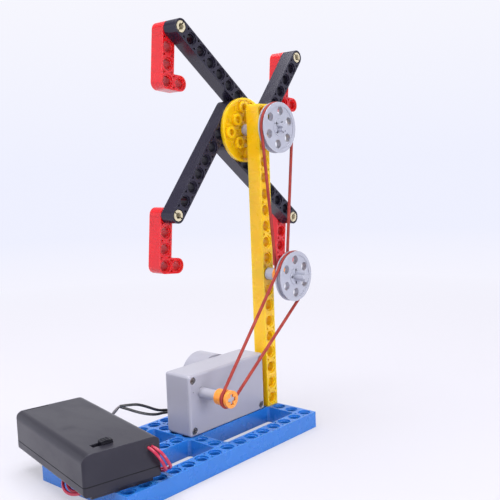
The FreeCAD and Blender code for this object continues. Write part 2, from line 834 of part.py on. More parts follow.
# ---- hub disc: a round plate seen from its hollow side, with tubes inside and studs behind
def make_hub_disc(place):
    rim = disc_diameter / 2
    inner = rim - disc_rim_wall
    floor = disc_thickness - disc_plate
    profile = [(0.0, floor), (inner, floor), (inner, 0.0), (rim, 0.0)]
    profile += [(rim, disc_thickness), (0.0, disc_thickness)]
    body = turned("hub_disc", profile, place)
    hub_tube = new_sketch(body, "XZ_Plane", -floor)
    draw_circle(hub_tube, 0.0, 0.0, hub_tube_diameter / 2)
    pad(body, hub_tube, floor, towards_back=False)
    tubes = new_sketch(body, "XZ_Plane", -floor)
    bores = new_sketch(body, "XZ_Plane", tube_proud)
    for i in (-1, 0, 1):
        for j in (-1, 0, 1):
            if (i, j) != (0, 0):
                draw_circle(tubes, pitch * i, pitch * j, tube_diameter / 2)
                draw_circle(bores, pitch * i, pitch * j, tube_bore / 2)
    pad(body, tubes, floor + tube_proud, towards_back=False)
    pocket(body, bores, floor + tube_proud)
    places = [(i / 2, j / 2) for i in (-3, -1, 1, 3) for j in (-3, -1, 1, 3) if abs(i * j) < 9]
    studs = new_sketch(body, "XZ_Plane", -disc_thickness)
    dimples = new_sketch(body, "XZ_Plane", -floor)
    for i, j in places:
        draw_circle(studs, pitch * i, pitch * j, shaft_radius)
        draw_circle(dimples, pitch * i, pitch * j, dimple_diameter / 2)
    pad(body, studs, stud_height)
    pocket(body, dimples, dimple_depth)
    cut_cross(body)
    cut_slots(body, disc_slot_reach)
    return body


# ---- gears: straight teeth with involute flanks, front face at the origin, bored for a pin
def gear_outline(teeth, phase):
    """Closed outline of a gear: one tooth centre lies at the phase angle from +X towards +Z."""
    module = float(tooth_module)
    pitch_r = module * teeth / 2
    base_r = pitch_r * math.cos(math.radians(20.0))
    tip_r = pitch_r + module * 0.9
    root_r = pitch_r - module * 1.25
    half_tooth = math.pi / (2 * teeth) - float(tooth_play) / (2 * pitch_r)

    def involute(radius):
        if radius <= base_r:
            return 0.0
        slope = math.acos(base_r / radius)
        return math.tan(slope) - slope

    flank_r = [max(base_r, root_r + 0.05) + (tip_r - max(base_r, root_r + 0.05)) * i / 3 for i in range(4)]
    flank = [(root_r, half_tooth + involute(pitch_r))]
    flank += [(r, half_tooth + involute(pitch_r) - involute(r)) for r in flank_r]
    points = []
    for tooth in range(teeth):
        middle = math.radians(phase) + 2 * math.pi * tooth / teeth
        for r, lag in flank:
            points.append((r, middle - lag))
        for r, lag in reversed(flank):
            points.append((r, middle + lag))
    corners = [V(r * math.cos(a), 0, r * math.sin(a)) for r, a in points]
    return Part.Face(Part.makePolygon(corners + corners[:1]))


def gear_layer(teeth, phase, start, length):
    layer = gear_outline(teeth, phase).extrude(V(0, float(length), 0))
    layer.translate(V(0, float(start), 0))
    return layer


def meshing_phase(phase, teeth, other_teeth, heading):
    """The phase of a gear that fits between the teeth of its neighbour, which lies back along the heading."""
    lead = (heading - phase) * teeth / other_teeth
    return heading + 180.0 + lead + 180.0 / other_teeth


def bored(shape, diameter, length):
    radius = float(diameter) / 2 + float(shaft_fit)
    return shape.cut(Part.makeCylinder(radius, float(length) * 2, V(0, -float(length) / 2, 0), ALONG_Y))


# ---- leads: a limp insulated wire along chosen points, each corner an arc as large as its runs allow
def corner_arc(before, corner, after):
    """The tangent arc that rounds one corner of a route, with its radius and two ends."""
    into, out = corner - before, after - corner
    run = 0.45 * min(into.Length, out.Length)
    start = corner - into.normalize() * run
    end = corner + out.normalize() * run
    turn = into.getAngle(out)
    radius = run / math.tan(turn / 2)
    inward = (start + end) * 0.5 - corner
    middle = corner + inward.normalize() * (radius / math.cos(turn / 2) - radius)
    return Part.Arc(start, middle, end).toShape(), start, end, radius


def make_lead(label, route):
    points = [V(*point) for point in route]
    edges = []
    here = points[0]
    radii = []
    for before, corner, after in zip(points, points[1:], points[2:]):
        arc, start, end, radius = corner_arc(before, corner, after)
        edges += [Part.LineSegment(here, start).toShape(), arc]
        radii.append(radius)
        here = end
    edges.append(Part.LineSegment(here, points[-1]).toShape())
    spine = Part.Wire(edges)
    radius = float(lead_diameter) / 2
    section = Part.Wire(Part.Circle(points[0], points[1] - points[0], radius).toShape())
    tube = spine.makePipeShell([section], True, False)
    share = tube.Volume / (spine.Length * math.pi * radius**2)
    print(f"{label}: {spine.Length:.1f} mm, radii from {min(radii):.1f} mm, volume {share:.4f} of its sum")
    return from_shape(label, tube)


# ---- tower bracket: an angle behind the tower's foot, with level holes above and upright ones behind
def make_bracket(place):
    body = new_body("tower_bracket")
    front = beam_thickness / 2
    back = front + beam_thickness
    reach = pitch * (1 + bracket_foot_holes) + end_radius
    leg = new_sketch(body, "XY_Plane")
    draw_box(leg, -end_radius, end_radius, front, back)
    pad(body, leg, pitch * 2, towards_back=False)
    foot = new_sketch(body, "XY_Plane")
    draw_box(foot, -end_radius, end_radius, back, reach)
    pad(body, foot, beam_thickness, towards_back=False)
    for level in (0.5, 1.5):
        drill(body, "XY_Plane", beam_thickness, 0.0, pitch * level, front)
    for row in range(2, 2 + bracket_foot_holes):
        drill(body, "XZ_Plane", beam_thickness, 0.0, -pitch * row)
    body.Placement = place
    return body


def make_pegs(label, places):
    """Short solid pegs with a collar that lies in the rims of the two holes they join."""
    depth = beam_thickness - peg_setback
    collar_radius = collar_diameter / 2
    collar = [(0.0, -depth), (shaft_radius, -depth), (shaft_radius, -rim_depth), (collar_radius, -rim_depth)]
    back = [(collar_radius, rim_depth), (shaft_radius, rim_depth), (shaft_radius, beam_thickness)]
    profile = collar + back + [(0.0, beam_thickness)]
    pegs = [turned(f"{label}_{i}", profile, place, listed=False) for i, place in enumerate(places)]
    group = doc.addObject("Part::Compound", label)
    group.Links = pegs
    return finish(group, label)


# ==== base, tower and what fastens them
make_base()
tower_turn = FreeCAD.Rotation(ALONG_Y, -90.0)
tower_place = FreeCAD.Placement(V(tower_x, -tower_face, base_top + float(pitch) / 2), tower_turn)
make_beam("tower_beam", tower_holes, tower_place, square=True, mark_step=2)
make_bracket(at(tower_x, 0, base_top))
level_pegs = [at(tower_x, tower_face, base_top + float(pitch) * k) for k in (0.5, 1.5)]
rows = range(2, 2 + bracket_foot_holes)
upright_pegs = [at(tower_x, float(pitch) * row, base_top, V(1, 0, 0), 90.0) for row in rows]
make_pegs("bracket_pegs", level_pegs + upright_pegs)

# ==== upper axle and wheel
gap = float(running_gap)
upper_pulley_y = -tower_face - gap - float(upper_ring_length) - float(pulley_hub_length)
upper_belt_y = upper_pulley_y + float(pulley_rim_width) / 2
disc_y = tower_face + gap + float(half_bush_length)
arm_y = disc_y + float(disc_thickness)
seat_y = arm_y + float(beam_thickness) + float(seat_gap)
retainer_y = arm_y + float(stud_height)
upper_axle_y = upper_pulley_y - float(upper_axle_stub)
ring_y = upper_pulley_y + float(pulley_hub_length)


def on_upper_axle(y, quarter_turns=0):
    """A place on the upper axle, turned with the wheel."""
    return at(tower_x, y, upper_axle_z, ALONG_Y, -wheel_turn - 90.0 * quarter_turns)


make_cross_axle("upper_axle", upper_axle_length, on_upper_axle(upper_axle_y))
make_big_pulley("upper_pulley", on_upper_axle(upper_pulley_y, 1))
make_bush("upper_ring", rim_radius, upper_ring_length, on_upper_axle(ring_y))
make_bush("wheel_spacer", spacer_diameter / 2, half_bush_length, on_upper_axle(tower_face + gap))
make_hub_disc(on_upper_axle(disc_y))
make_bush("wheel_retainer", bush_diameter / 2, half_bush_length, on_upper_axle(retainer_y))
for number in range(4):
    angle = wheel_turn + 90.0 * number
    turn = FreeCAD.Rotation(ALONG_Y, -angle)
    hub = V(tower_x, arm_y, upper_axle_z)
    step = float(pitch)
    inner_hole = hub + turn.multVec(V(-0.5 * step, 0, -1.5 * step))
    outer_hole = hub + turn.multVec(V((arm_holes - 1.5) * step, 0, -1.5 * step))
    make_beam(f"arm_{number + 1}", arm_holes, FreeCAD.Placement(inner_hole, turn))
    half = beam_thickness + seat_gap / 2
    pin_place = FreeCAD.Placement(outer_hole + V(0, float(half), 0), turn)
    make_pin(f"seat_pin_{number + 1}", half, pin_place)
    make_seat(f"seat_{number + 1}", (outer_hole.x, seat_y, outer_hole.z))
    print(f"seat_{number + 1} pivot: {outer_hole.x:.4f}, {outer_hole.z:.4f}")

# ==== lower axle: a bush against the tower, the driven pulley and the driving one in line
transfer_back = upper_belt_y + float(small_groove_place)
transfer_y = transfer_back - float(small_pulley_length)
lower_pulley_y = transfer_y - float(pulley_hub_length)
lower_belt_y = lower_pulley_y + float(pulley_rim_width) / 2
lower_axle_y = lower_pulley_y - float(lower_axle_stub)
make_cross_axle("lower_axle", lower_axle_length, at(tower_x, lower_axle_y, lower_axle_z))
make_big_pulley("lower_pulley", at(tower_x, lower_pulley_y, lower_axle_z))
make_small_pulley("transfer_pulley", at(tower_x, transfer_y, lower_axle_z), reverse=True)
lower_ring_length = upper_ring_length + pulley_hub_length - pulley_rim_width / 2 - small_groove_place
make_bush("lower_ring", rim_radius, lower_ring_length, at(tower_x, transfer_back, lower_axle_z))

# ==== gearbox: a deep rear housing with a screwed front cover
sheet_tolerance = 0.01
left_x = tower_x - float(beam_width) / 2 - float(tower_clearance) - float(gearbox_length)
front_y = -tower_face
box_origin = at(left_x, front_y, base_top)
screw_places = []
for sx in (screw_inset, gearbox_length - screw_inset):
    for sz in (screw_inset, gearbox_height - screw_inset):
        screw_places.append((sx, sz))


def is_level(box):
    """True for an edge that runs front to back."""
    return box.YLength > box.XLength + box.ZLength


def rounded_edges(label, solid, chosen):
    """The solid with those of its edges rounded whose extents pass the given test."""
    fillet = doc.addObject("Part::Fillet", label)
    fillet.Base = solid
    radius = float(gearbox_round)
    edges = [i + 1 for i, edge in enumerate(solid.Shape.Edges) if chosen(edge.BoundBox)]
    fillet.Edges = [(i, radius, radius) for i in edges]
    return fillet


def make_front_cover():
    plate = block("cover_plate", (0.0, 0.0, 0.0), (gearbox_length, cover_thickness, gearbox_height))
    doc.recompute()
    rounded = rounded_edges("cover_rounded", plate, lambda box: box.YMax < sheet_tolerance or is_level(box))
    bearing = lying(output_from_left, 0, output_height)
    tools = [rod("cover_bearing", output_shaft_diameter / 2 + shaft_fit, cover_thickness, bearing)]
    seat_radius = screw_head_diameter / 2 + screw_seat_gap
    seat_depth = screw_recess + screw_head_depth
    for i, (sx, sz) in enumerate(screw_places):
        tools.append(rod(f"cover_seat_{i}", seat_radius, seat_depth, lying(sx, 0, sz)))
        clear = screw_shank_diameter / 2 + shaft_fit
        tools.append(rod(f"cover_hole_{i}", clear, cover_thickness, lying(sx, 0, sz)))
    mark = lying(screw_inset, 0, output_height + screw_inset / 2)
    dimple = rod("cover_dimple", screw_recess, screw_recess, mark)
    finish(cut_from("gearbox_cover", rounded, tools + [dimple]), "gearbox_cover", box_origin)


def make_housing():
    far_corner = (gearbox_length, gearbox_depth, gearbox_height)
    solid = block("housing_shell", (0.0, cover_thickness, 0.0), far_corner)
    doc.recompute()
    back = float(gearbox_depth) - sheet_tolerance
    shell = rounded_edges("housing_rounded", solid, lambda box: box.YMin > back or is_level(box))
    inner_low = (gearbox_wall, 0.0, gearbox_wall)
    inner_high = (gearbox_length - gearbox_wall, gearbox_depth - gearbox_wall, gearbox_height - gearbox_wall)
    hollow = cut_from("housing_hollow", shell, [block("housing_inside", inner_low, inner_high)])
    post_length = gearbox_depth - gearbox_wall - cover_thickness
    parts = [hollow]
    for i, (sx, sz) in enumerate(screw_places):
        post = lying(sx, cover_thickness, sz)
        parts.append(rod(f"housing_post_{i}", screw_post_diameter / 2, post_length, post))
    for i, column in enumerate((1, 5)):
        x = pitch * column - left_x
        foot = standing(x, tower_face, -float(peg_length))
        parts.append(rod(f"housing_peg_{i}", shaft_radius, peg_length, foot))
    boss_start = gearbox_depth - gearbox_wall * 2
    boss_place = lying(output_from_left, boss_start, output_height)
    boss = rod("housing_boss", output_tenon_diameter, gearbox_wall, boss_place)
    whole = joined("housing_solid", parts + [boss])
    bore = output_tenon_diameter / 2 + shaft_fit
    tools = [rod("housing_bearing", bore, bearing_depth, boss_place)]
    wall_start = gearbox_depth - gearbox_wall
    motor_hole = motor_boss_diameter / 2 + shaft_fit
    motor_middle = lying(motor_from_left, wall_start, motor_height)
    tools.append(rod("housing_motor_hole", motor_hole, gearbox_wall, motor_middle))
    gland_hole = motor_gland_diameter / 2 - gland_lip + shaft_fit
    gland_middle = lying(gland_from_left, wall_start, gland_height)
    tools.append(rod("housing_gland_hole", gland_hole, gearbox_wall, gland_middle))
    for i, (sx, sz) in enumerate(screw_places):
        pilot = screw_shank_diameter / 2 + shaft_fit
        tools.append(rod(f"housing_pilot_{i}", pilot, screw_length, lying(sx, cover_thickness, sz)))
    finish(cut_from("gearbox_housing", whole, tools), "gearbox_housing", box_origin)


def make_cover_screws():
    head = screw_head_diameter / 2
    shank = screw_shank_diameter / 2
    neck = screw_recess + screw_head_depth
    top = [(0.0, screw_recess), (head, screw_recess), (head, neck)]
    profile = top + [(shank, neck), (shank, screw_length), (0.0, screw_length)]
    screws = []
    for i, (sx, sz) in enumerate(screw_places):
        place = box_origin * at(sx, 0, sz)
        screws.append(turned(f"cover_screw_{i}", profile, place, listed=False))
    group = doc.addObject("Part::Compound", "cover_screws")
    group.Links = screws
    finish(group, "cover_screws")


make_front_cover()
make_housing()
make_cover_screws()

# ---- motor: a flat round can in its own cap behind the housing
cap = motor_cap_diameter / 2
cap_inner = cap - motor_cap_wall
cap_floor = motor_cap_length - motor_cap_wall
cap_profile = [(cap_inner, 0.0), (cap, 0.0), (cap, motor_cap_length), (0.0, motor_cap_length)]
cap_profile += [(0.0, cap_floor), (cap_inner, cap_floor)]
motor_place = box_origin * at(motor_from_left, float(gearbox_depth), motor_height)
turned("motor_cap", cap_profile, motor_place)
can = cap_inner - motor_can_gap
can_length = cap_floor - motor_can_gap
boss = motor_boss_diameter / 2
boss_front = -(gearbox_wall - motor_can_gap)
bore = motor_shaft_diameter / 2 + shaft_fit
shaft_back = can_length - motor_cap_wall
can_profile = [(bore, boss_front), (boss, boss_front), (boss, 0.0), (can, 0.0)]
can_profile += [(can, can_length), (0.0, can_length)]
can_profile += [(0.0, shaft_back + motor_can_gap), (bore, shaft_back + motor_can_gap)]
turned("motor_can", can_profile, motor_place)

# ---- gear train: pinion, two compound gears on fixed pins, output gear; layers from the front
layer_3 = cover_thickness + rim_depth
layer_2 = layer_3 + gear_step
layer_1 = layer_2 + gear_step
module = float(tooth_module)


def centre_distance(teeth, other_teeth):
    return module * (teeth + other_teeth) / 2


motor_x, motor_z = float(motor_from_left), float(motor_height)
output_x, output_z = float(output_from_left), float(output_height)
first_arm = centre_distance(pinion_teeth, first_wheel_teeth)
first_x = motor_x + first_arm * math.cos(math.radians(first_stage_angle))
first_z = motor_z + first_arm * math.sin(math.radians(first_stage_angle))
second_arm = centre_distance(pinion_teeth, second_wheel_teeth)
third_arm = centre_distance(pinion_teeth, output_teeth)
span = math.hypot(output_x - first_x, output_z - first_z)
along = (second_arm**2 - third_arm**2 + span**2) / (2 * span)
aside = math.sqrt(second_arm**2 - along**2)
ux, uz = (output_x - first_x) / span, (output_z - first_z) / span
second_x = first_x + along * ux + aside * uz
second_z = first_z + along * uz - aside * ux
if second_z > first_z + along * uz:
    second_x, second_z = first_x + along * ux - aside * uz, first_z + along * uz + aside * ux


def heading(ax, az, bx, bz):
    """Direction from one centre to another, in degrees from +X towards +Z."""
    return math.degrees(math.atan2(bz - az, bx - ax))


pinion_phase = 0.0
first_heading = heading(motor_x, motor_z, first_x, first_z)
first_phase = meshing_phase(pinion_phase, pinion_teeth, first_wheel_teeth, first_heading)
small_phase = 0.0
second_heading = heading(first_x, first_z, second_x, second_z)
second_phase = meshing_phase(small_phase, pinion_teeth, second_wheel_teeth, second_heading)
third_heading = heading(second_x, second_z, output_x, output_z)
output_phase = meshing_phase(small_phase, pinion_teeth, output_teeth, third_heading)

pinion = gear_layer(pinion_teeth, pinion_phase, layer_1, gear_face)
pinion = bored(pinion, motor_shaft_diameter, gearbox_depth)
from_shape("motor_pinion", pinion, box_origin * at(motor_x, 0, motor_z))
first = gear_layer(first_wheel_teeth, first_phase, layer_1, gear_face)
first = first.fuse(gear_layer(pinion_teeth, small_phase, layer_2, layer_1 - layer_2))
first = bored(first, gear_pin_diameter, gearbox_depth)
from_shape("first_gear", first, box_origin * at(first_x, 0, first_z))
second = gear_layer(second_wheel_teeth, second_phase, layer_2, gear_face)
second = second.fuse(gear_layer(pinion_teeth, small_phase, layer_3, layer_2 - layer_3))
second = bored(second, gear_pin_diameter, gearbox_depth)
from_shape("second_gear", second, box_origin * at(second_x, 0, second_z))
output = gear_layer(output_teeth, output_phase, layer_3, gear_face)
output = bored(output, output_shaft_diameter, gearbox_depth)
from_shape("output_gear", output, box_origin * at(output_x, 0, output_z))
pin_length = gearbox_depth - gearbox_wall - cover_thickness
pins = []
for i, (px, pz) in enumerate(((first_x, first_z), (second_x, second_z))):
    pins.append(rod(f"gear_pin_{i}", gear_pin_diameter / 2, pin_length, lying(px, cover_thickness, pz)))
pin_group = doc.addObject("Part::Compound", "gear_pins")
pin_group.Links = pins
finish(pin_group, "gear_pins", box_origin)
shaft_front = layer_1 - rim_depth
rotor_length = gearbox_depth + shaft_back - shaft_front
rotor_place = box_origin * at(motor_x, shaft_front, motor_z)
turned("motor_shaft", tube_profile(motor_shaft_diameter / 2, rotor_length, 0.0), rotor_place)

# ---- output shaft: round through the cover, a cross in front for the pulley, a tenon behind
motor_pulley_y = lower_belt_y - float(small_groove_place)
drive_front = small_pulley_length - rim_depth
shaft_start = front_y - motor_pulley_y - float(small_pulley_length)
round_back = layer_3 + gear_face
tenon_back = gearbox_depth - gearbox_wall - running_gap
shaft_profile = [
    (0.0, -shaft_start),
    (output_shaft_diameter / 2, -shaft_start),
    (output_shaft_diameter / 2, round_back),
    (output_tenon_diameter / 2, round_back),
    (output_tenon_diameter / 2, tenon_back),
    (0.0, tenon_back),
]
output_place = box_origin * at(output_x, 0, output_z)
output_shaft = turned("output_shaft", shaft_profile, output_place)
cross_sketch = new_sketch(output_shaft, "XZ_Plane", shaft_start)
reach = shaft_radius - web_fit * 4
draw_polygon(cross_sketch, cross_points(reach, web_thickness))
pad(output_shaft, cross_sketch, drive_front, towards_back=False)
make_small_pulley("motor_pulley", at(left_x + output_x, motor_pulley_y, base_top + output_z))

# ==== belts
tower_upper = (tower_x, upper_axle_z)
tower_lower = (tower_x, lower_axle_z)
make_belt("upper_belt", tower_upper, tower_lower, upper_belt_y)
make_belt("lower_belt", tower_lower, (left_x + output_x, base_top + output_z), lower_belt_y)

# ==== battery box
half_w = box_width / 2
half_l = box_length / 2
in_w = half_w - box_wall
in_l = half_l - box_end_wall
ceiling = box_height - box_top_wall
floor = box_foot + box_floor
wall_back = in_l - cell_bay
cell_z = cell_rest + cell_diameter / 2
switch_y = switch_bay / 2 - in_l
post_x, post_y = switch_place_x + slider_length + switch_travel * 2, switch_y
slot_half = (slider_length + switch_travel) / 2 + slider_gap
slot_side = slider_width / 2 + slider_gap


def upright_edges(edges):
    """Numbers of the edges that stand along Z."""
    boxes = [edge.BoundBox for edge in edges]
    return [i + 1 for i, box in enumerate(boxes) if box.ZLength > box.XLength + box.YLength]


def long_edges(edges, at_level):
    """Numbers of the edges along the box whose height passes the given test."""
    chosen = [edge.BoundBox.YLength > float(half_l) and at_level(edge.CenterOfMass.z) for edge in edges]
    return [i + 1 for i, keep in enumerate(chosen) if keep]


def make_case():
    solid = block("case_solid", (-half_w, -half_l, box_seam), (half_w, half_l, box_height))
    doc.recompute()
    edges = solid.Shape.Edges
    ridge = long_edges(edges, lambda level: level > float(box_height) - sheet_tolerance)
    outside = doc.addObject("Part::Fillet", "case_outside")
    outside.Base = solid
    soft, sharp = float(box_edge), float(box_corner)
    outside.Edges = [(i, sharp, sharp) for i in upright_edges(edges)] + [(i, soft, soft) for i in ridge]
    inside = block("case_inside", (-in_w, -in_l, 0.0), (in_w, in_l, ceiling))
    doc.recompute()
    inner = float(box_edge - box_wall)
    inner_ridge = long_edges(inside.Shape.Edges, lambda level: level > float(ceiling) - sheet_tolerance)
    soft_inside = doc.addObject("Part::Fillet", "case_soft_inside")
    soft_inside.Base = inside
    soft_inside.Edges = [(i, inner, inner) for i in inner_ridge]
    hollow = cut_from("case_hollow", outside, [soft_inside])
    wall_low = (-in_w, wall_back - box_partition, box_seam)
    wall = block("case_wall", wall_low, (in_w, wall_back, ceiling - box_edge))
    post_foot = standing(post_x, post_y, box_seam)
    post = rod("case_post", lid_post_diameter / 2, ceiling - box_seam, post_foot)
    whole = joined("case_whole", [hollow, wall, post])
    slot_low = (switch_place_x - slot_half, switch_y - slot_side, ceiling)
    slot_high = (switch_place_x + slot_half, switch_y + slot_side, box_height)
    slot = block("case_slot", slot_low, slot_high)
    notch_low = (notch_place - notch_width / 2, half_l - box_end_wall, box_height - notch_depth)
    notch_high = (notch_place + notch_width / 2, half_l - box_end_wall / 4, box_height)
    notch = block("case_notch", notch_low, notch_high)
    outlet = block("case_outlet", outlet_low, outlet_high)
    pilot = rod("case_pilot", lid_screw_diameter / 2 + shaft_fit, screw_length, post_foot)
    finish(cut_from("battery_case", whole, [slot, notch, outlet, pilot]), "battery_case", box_place)


def make_lid():
    solid = block("lid_solid", (-half_w, -half_l, box_foot), (half_w, half_l, box_seam))
    doc.recompute()
    edges = solid.Shape.Edges
    keel = long_edges(edges, lambda level: level < float(box_foot) + sheet_tolerance)
    outside = doc.addObject("Part::Fillet", "lid_outside")
    outside.Base = solid
    outside.Edges = [(i, float(box_corner), float(box_corner)) for i in upright_edges(edges) + keel]
    inside = block("lid_inside", (-in_w, -in_l, floor), (in_w, in_l, box_height))
    hollow = cut_from("lid_hollow", outside, [inside])
    feet = []
    foot_reach = half_w - box_edge
    for i, y in enumerate((-half_l + foot_front_inset, Size.of(foot_rear_place))):
        foot_low = (-foot_reach, y - foot_width / 2, 0.0)
        feet.append(block(f"lid_foot_{i}", foot_low, (foot_reach, y + foot_width / 2, box_foot)))
    screw_foot = standing(post_x, post_y, box_foot)
    boss = rod("lid_boss", lid_post_diameter / 2 + lid_boss_wall, box_seam - box_foot, screw_foot)
    whole = joined("lid_whole", [hollow, boss] + feet)
    seat = rod("lid_seat", lid_screw_head / 2 + shaft_fit, lid_screw_sink, screw_foot)
    clear = rod("lid_clear", lid_screw_diameter / 2 + shaft_fit, box_seam, screw_foot)
    finish(cut_from("battery_lid", whole, [seat, clear]), "battery_lid", box_place)


def make_cells():
    body = cell_diameter / 2
    nub = nub_diameter / 2
    shoulder = cell_length - nub_height
    profile = [(0.0, 0.0), (body, 0.0), (body, shoulder), (nub, shoulder)]
    profile += [(nub, cell_length), (0.0, cell_length)]
    spring = spring_wire * spring_turns
    minus_back = box_place * at(-cell_spacing / 2, in_l - contact_thickness - spring, cell_z, ALONG_Z, 180.0)
    minus_front = box_place * at(cell_spacing / 2, wall_back + contact_thickness + spring, cell_z)
    turned("cell_1", profile, minus_back)
    turned("cell_2", profile, minus_front)


def make_contacts():
    half_plate = contact_height / 2
    low, high = cell_z - half_plate, cell_z + half_plate
    front_y, back_y = wall_back, in_l
    rear_low = (-cell_spacing / 2 - half_plate, back_y - contact_thickness, low)
    plates = [block("plate_rear", rear_low, (cell_spacing / 2 + half_plate, back_y, high))]
    for i, x in enumerate((-cell_spacing / 2, cell_spacing / 2)):
        corner = (x + half_plate, front_y + contact_thickness, high)
        plates.append(block(f"plate_front_{i}", (x - half_plate, front_y, low), corner))
    group = doc.addObject("Part::Compound", "contact_plates")
    group.Links = plates
    finish(group, "contact_plates", box_place)
    coils = []
    wire = float(spring_wire)
    rear_end = (-cell_spacing / 2, back_y - contact_thickness, -1.0)
    front_end = (cell_spacing / 2, front_y + contact_thickness, 1.0)
    for x, y, way in (rear_end, front_end):
        turns = []
        for k in range(spring_turns):
            ring_radius = float(spring_diameter) / 2 - k * float(spring_taper)
            middle = V(float(x), float(y) + way * wire * (k + 0.5), float(cell_z))
            turns.append(Part.makeTorus(ring_radius, wire / 2 + float(spring_overlap), middle, ALONG_Y))
        coils.append(turns[0].multiFuse(turns[1:]))
    from_shape("contact_springs", Part.makeCompound(coils), box_place)


def make_switch():
    x, y = switch_place_x, switch_y
    low = (x - slot_half - box_floor, y - slot_side - box_floor, ceiling - switch_depth)
    solid = block("switch_solid", low, (x + slot_half + box_floor, y + slot_side + box_floor, ceiling))
    stem_half = slider_stem / 2
    stem_top = ceiling - switch_depth + box_wall
    reach = (slider_stem + switch_travel) / 2 + slider_gap
    side = stem_half + slider_gap
    track = block("switch_track", (x - reach, y - side, stem_top), (x + reach, y + side, ceiling))
    finish(cut_from("switch_body", solid, [track]), "switch_body", box_place)
    knob_x = x + switch_travel / 2
    lift = ceiling + shaft_fit * 3
    head_low = (knob_x - slider_length / 2, y - slider_width / 2, lift)
    head_high = (knob_x + slider_length / 2, y + slider_width / 2, box_height + slider_proud)
    head = block("slider_head", head_low, head_high)
    stem_low = (knob_x - stem_half, y - stem_half, stem_top + slider_gap)
    stem = block("slider_stem_block", stem_low, (knob_x + stem_half, y + stem_half, lift))
    finish(joined("switch_slider", [head, stem]), "switch_slider", box_place)


outlet_low = (lead_outlet_x - outlet_width / 2, -half_l, lead_outlet_z - outlet_height / 2)
outlet_high = (lead_outlet_x + outlet_width / 2, -in_l, lead_outlet_z + outlet_height / 2)
make_case()
make_lid()
make_cells()
make_contacts()
make_switch()
sink = lid_screw_sink - lid_screw_cap
lid_screw_profile = [
    (0.0, sink),
    (lid_screw_head / 2, sink),
    (lid_screw_head / 2, lid_screw_sink),
    (lid_screw_diameter / 2, lid_screw_sink),
    (lid_screw_diameter / 2, screw_length),
    (0.0, screw_length),
]
turned("lid_screw", lid_screw_profile, box_place * at(post_x, post_y, box_foot, V(1, 0, 0), 90.0))
gland_block = block("gland_block", outlet_low, outlet_high)
lip_low = (outlet_low[0] - gland_lip, -in_l, outlet_low[2] - gland_lip)
lip_high = (outlet_high[0] + gland_lip, gland_lip - in_l, outlet_high[2] + gland_lip)
gland_lips = block("gland_lip_block", lip_low, lip_high)
finish(joined("battery_gland", [gland_block, gland_lips]), "battery_gland", box_place)

# ==== leads
gland = motor_gland_diameter / 2
gland_profile = [
    (0.0, -gearbox_wall),
    (gland - gland_lip, -gearbox_wall),
    (gland - gland_lip, 0.0),
    (gland, 0.0),
    (gland, motor_gland_length),
    (0.0, motor_gland_length),
]
turned("motor_gland", gland_profile, box_origin * at(gland_from_left, float(gearbox_depth), gland_height))
gland_face_y = front_y + float(gearbox_depth) + float(motor_gland_length)


def battery_outlet(side):
    """Where a lead leaves the battery box's gland, left (-1) or right (1) of its middle."""
    across = lead_outlet_x + lead_spacing / 2 * side
    return tuple(box_place.multVec(V(float(across), -float(half_l), float(lead_outlet_z))))


# the two twisted joints, each from its black lead to its red one
joints = {"a": ((-17.6, 27.2, 21.2), (-22.8, 27.3, 18.4)), "b": ((-16.8, 28.8, 20.5), (-21.2, 29.5, 16.6))}
lead_routes = {
    "battery_lead_1": [
        battery_outlet(1),
        (-43.9, -28.4, 21.7),
        (-42.9, -31.0, 19.2),
        (-41.4, -31.6, 16.2),
        (-39.0, -30.2, 13.6),
        (-36.8, -26.8, 11.3),
        (-35.1, -22.2, 9.3),
        (-36.2, -17.6, 8.4),
        (-40.4, -14.4, 6.0),
        (-45.2, -12.9, 5.9),
        (-49.8, -12.3, 8.65),
        (-54.8, -12.5, 8.65),
        (-60.0, -11.7, 8.75),
        (-64.3, -9.0, 7.2),
        (-66.6, -4.6, 5.8),
        (-66.2, 0.4, 5.8),
        (-64.0, 4.4, 7.3),
        (-60.4, 7.4, 8.85),
        (-55.8, 9.6, 8.65),
        (-50.6, 10.2, 8.65),
        (-45.6, 10.1, 6.4),
        (-40.6, 11.2, 4.6),
        (-35.6, 13.4, 4.9),
        (-31.2, 16.6, 7.6),
        (-27.6, 20.4, 11.0),
        (-25.2, 24.2, 14.6),
        joints["a"][1],
    ],
    "battery_lead_2": [
        battery_outlet(-1),
        (-45.5, -27.9, 21.3),
        (-44.4, -30.2, 18.5),
        (-42.8, -30.6, 15.2),
        (-40.5, -29.0, 12.5),
        (-38.4, -25.6, 10.5),
        (-37.2, -21.4, 8.8),
        (-39.4, -17.6, 8.0),
        (-42.8, -15.9, 5.8),
        (-46.8, -14.7, 5.8),
        (-50.8, -13.9, 8.65),
        (-55.6, -14.1, 8.65),
        (-60.6, -13.5, 8.75),
        (-65.4, -10.6, 7.2),
        (-68.4, -5.2, 5.5),
        (-68.0, 0.9, 5.5),
        (-65.2, 5.8, 7.1),
        (-60.9, 9.3, 8.85),
        (-55.6, 11.4, 8.65),
        (-50.2, 12.0, 8.55),
        (-45.4, 12.0, 6.2),
        (-40.6, 13.2, 4.4),
        (-35.8, 15.7, 5.2),
        (-31.4, 19.0, 8.2),
        (-28.2, 22.9, 9.8),
        (-24.6, 26.8, 12.6),
        joints["b"][1],
    ],
    "motor_lead_1": [
        (9.6, gland_face_y, 14.6),
        (9.3, 18.4, 14.1),
        (5.6, 21.6, 14.0),
        (0.7, 22.0, 15.2),
        (-3.5, 23.2, 17.6),
        (-8.9, 24.6, 20.3),
        (-14.1, 26.0, 21.0),
        joints["a"][0],
    ],
    "motor_lead_2": [
        (8.2, gland_face_y, 13.4),
        (7.9, 18.0, 13.2),
        (4.4, 20.8, 13.4),
        (-0.4, 21.2, 13.6),
        (-4.4, 22.4, 14.5),
        (-9.3, 24.6, 16.5),
        (-13.4, 27.2, 18.8),
        joints["b"][0],
    ],
}
for label, route in lead_routes.items():
    make_lead(label, route)
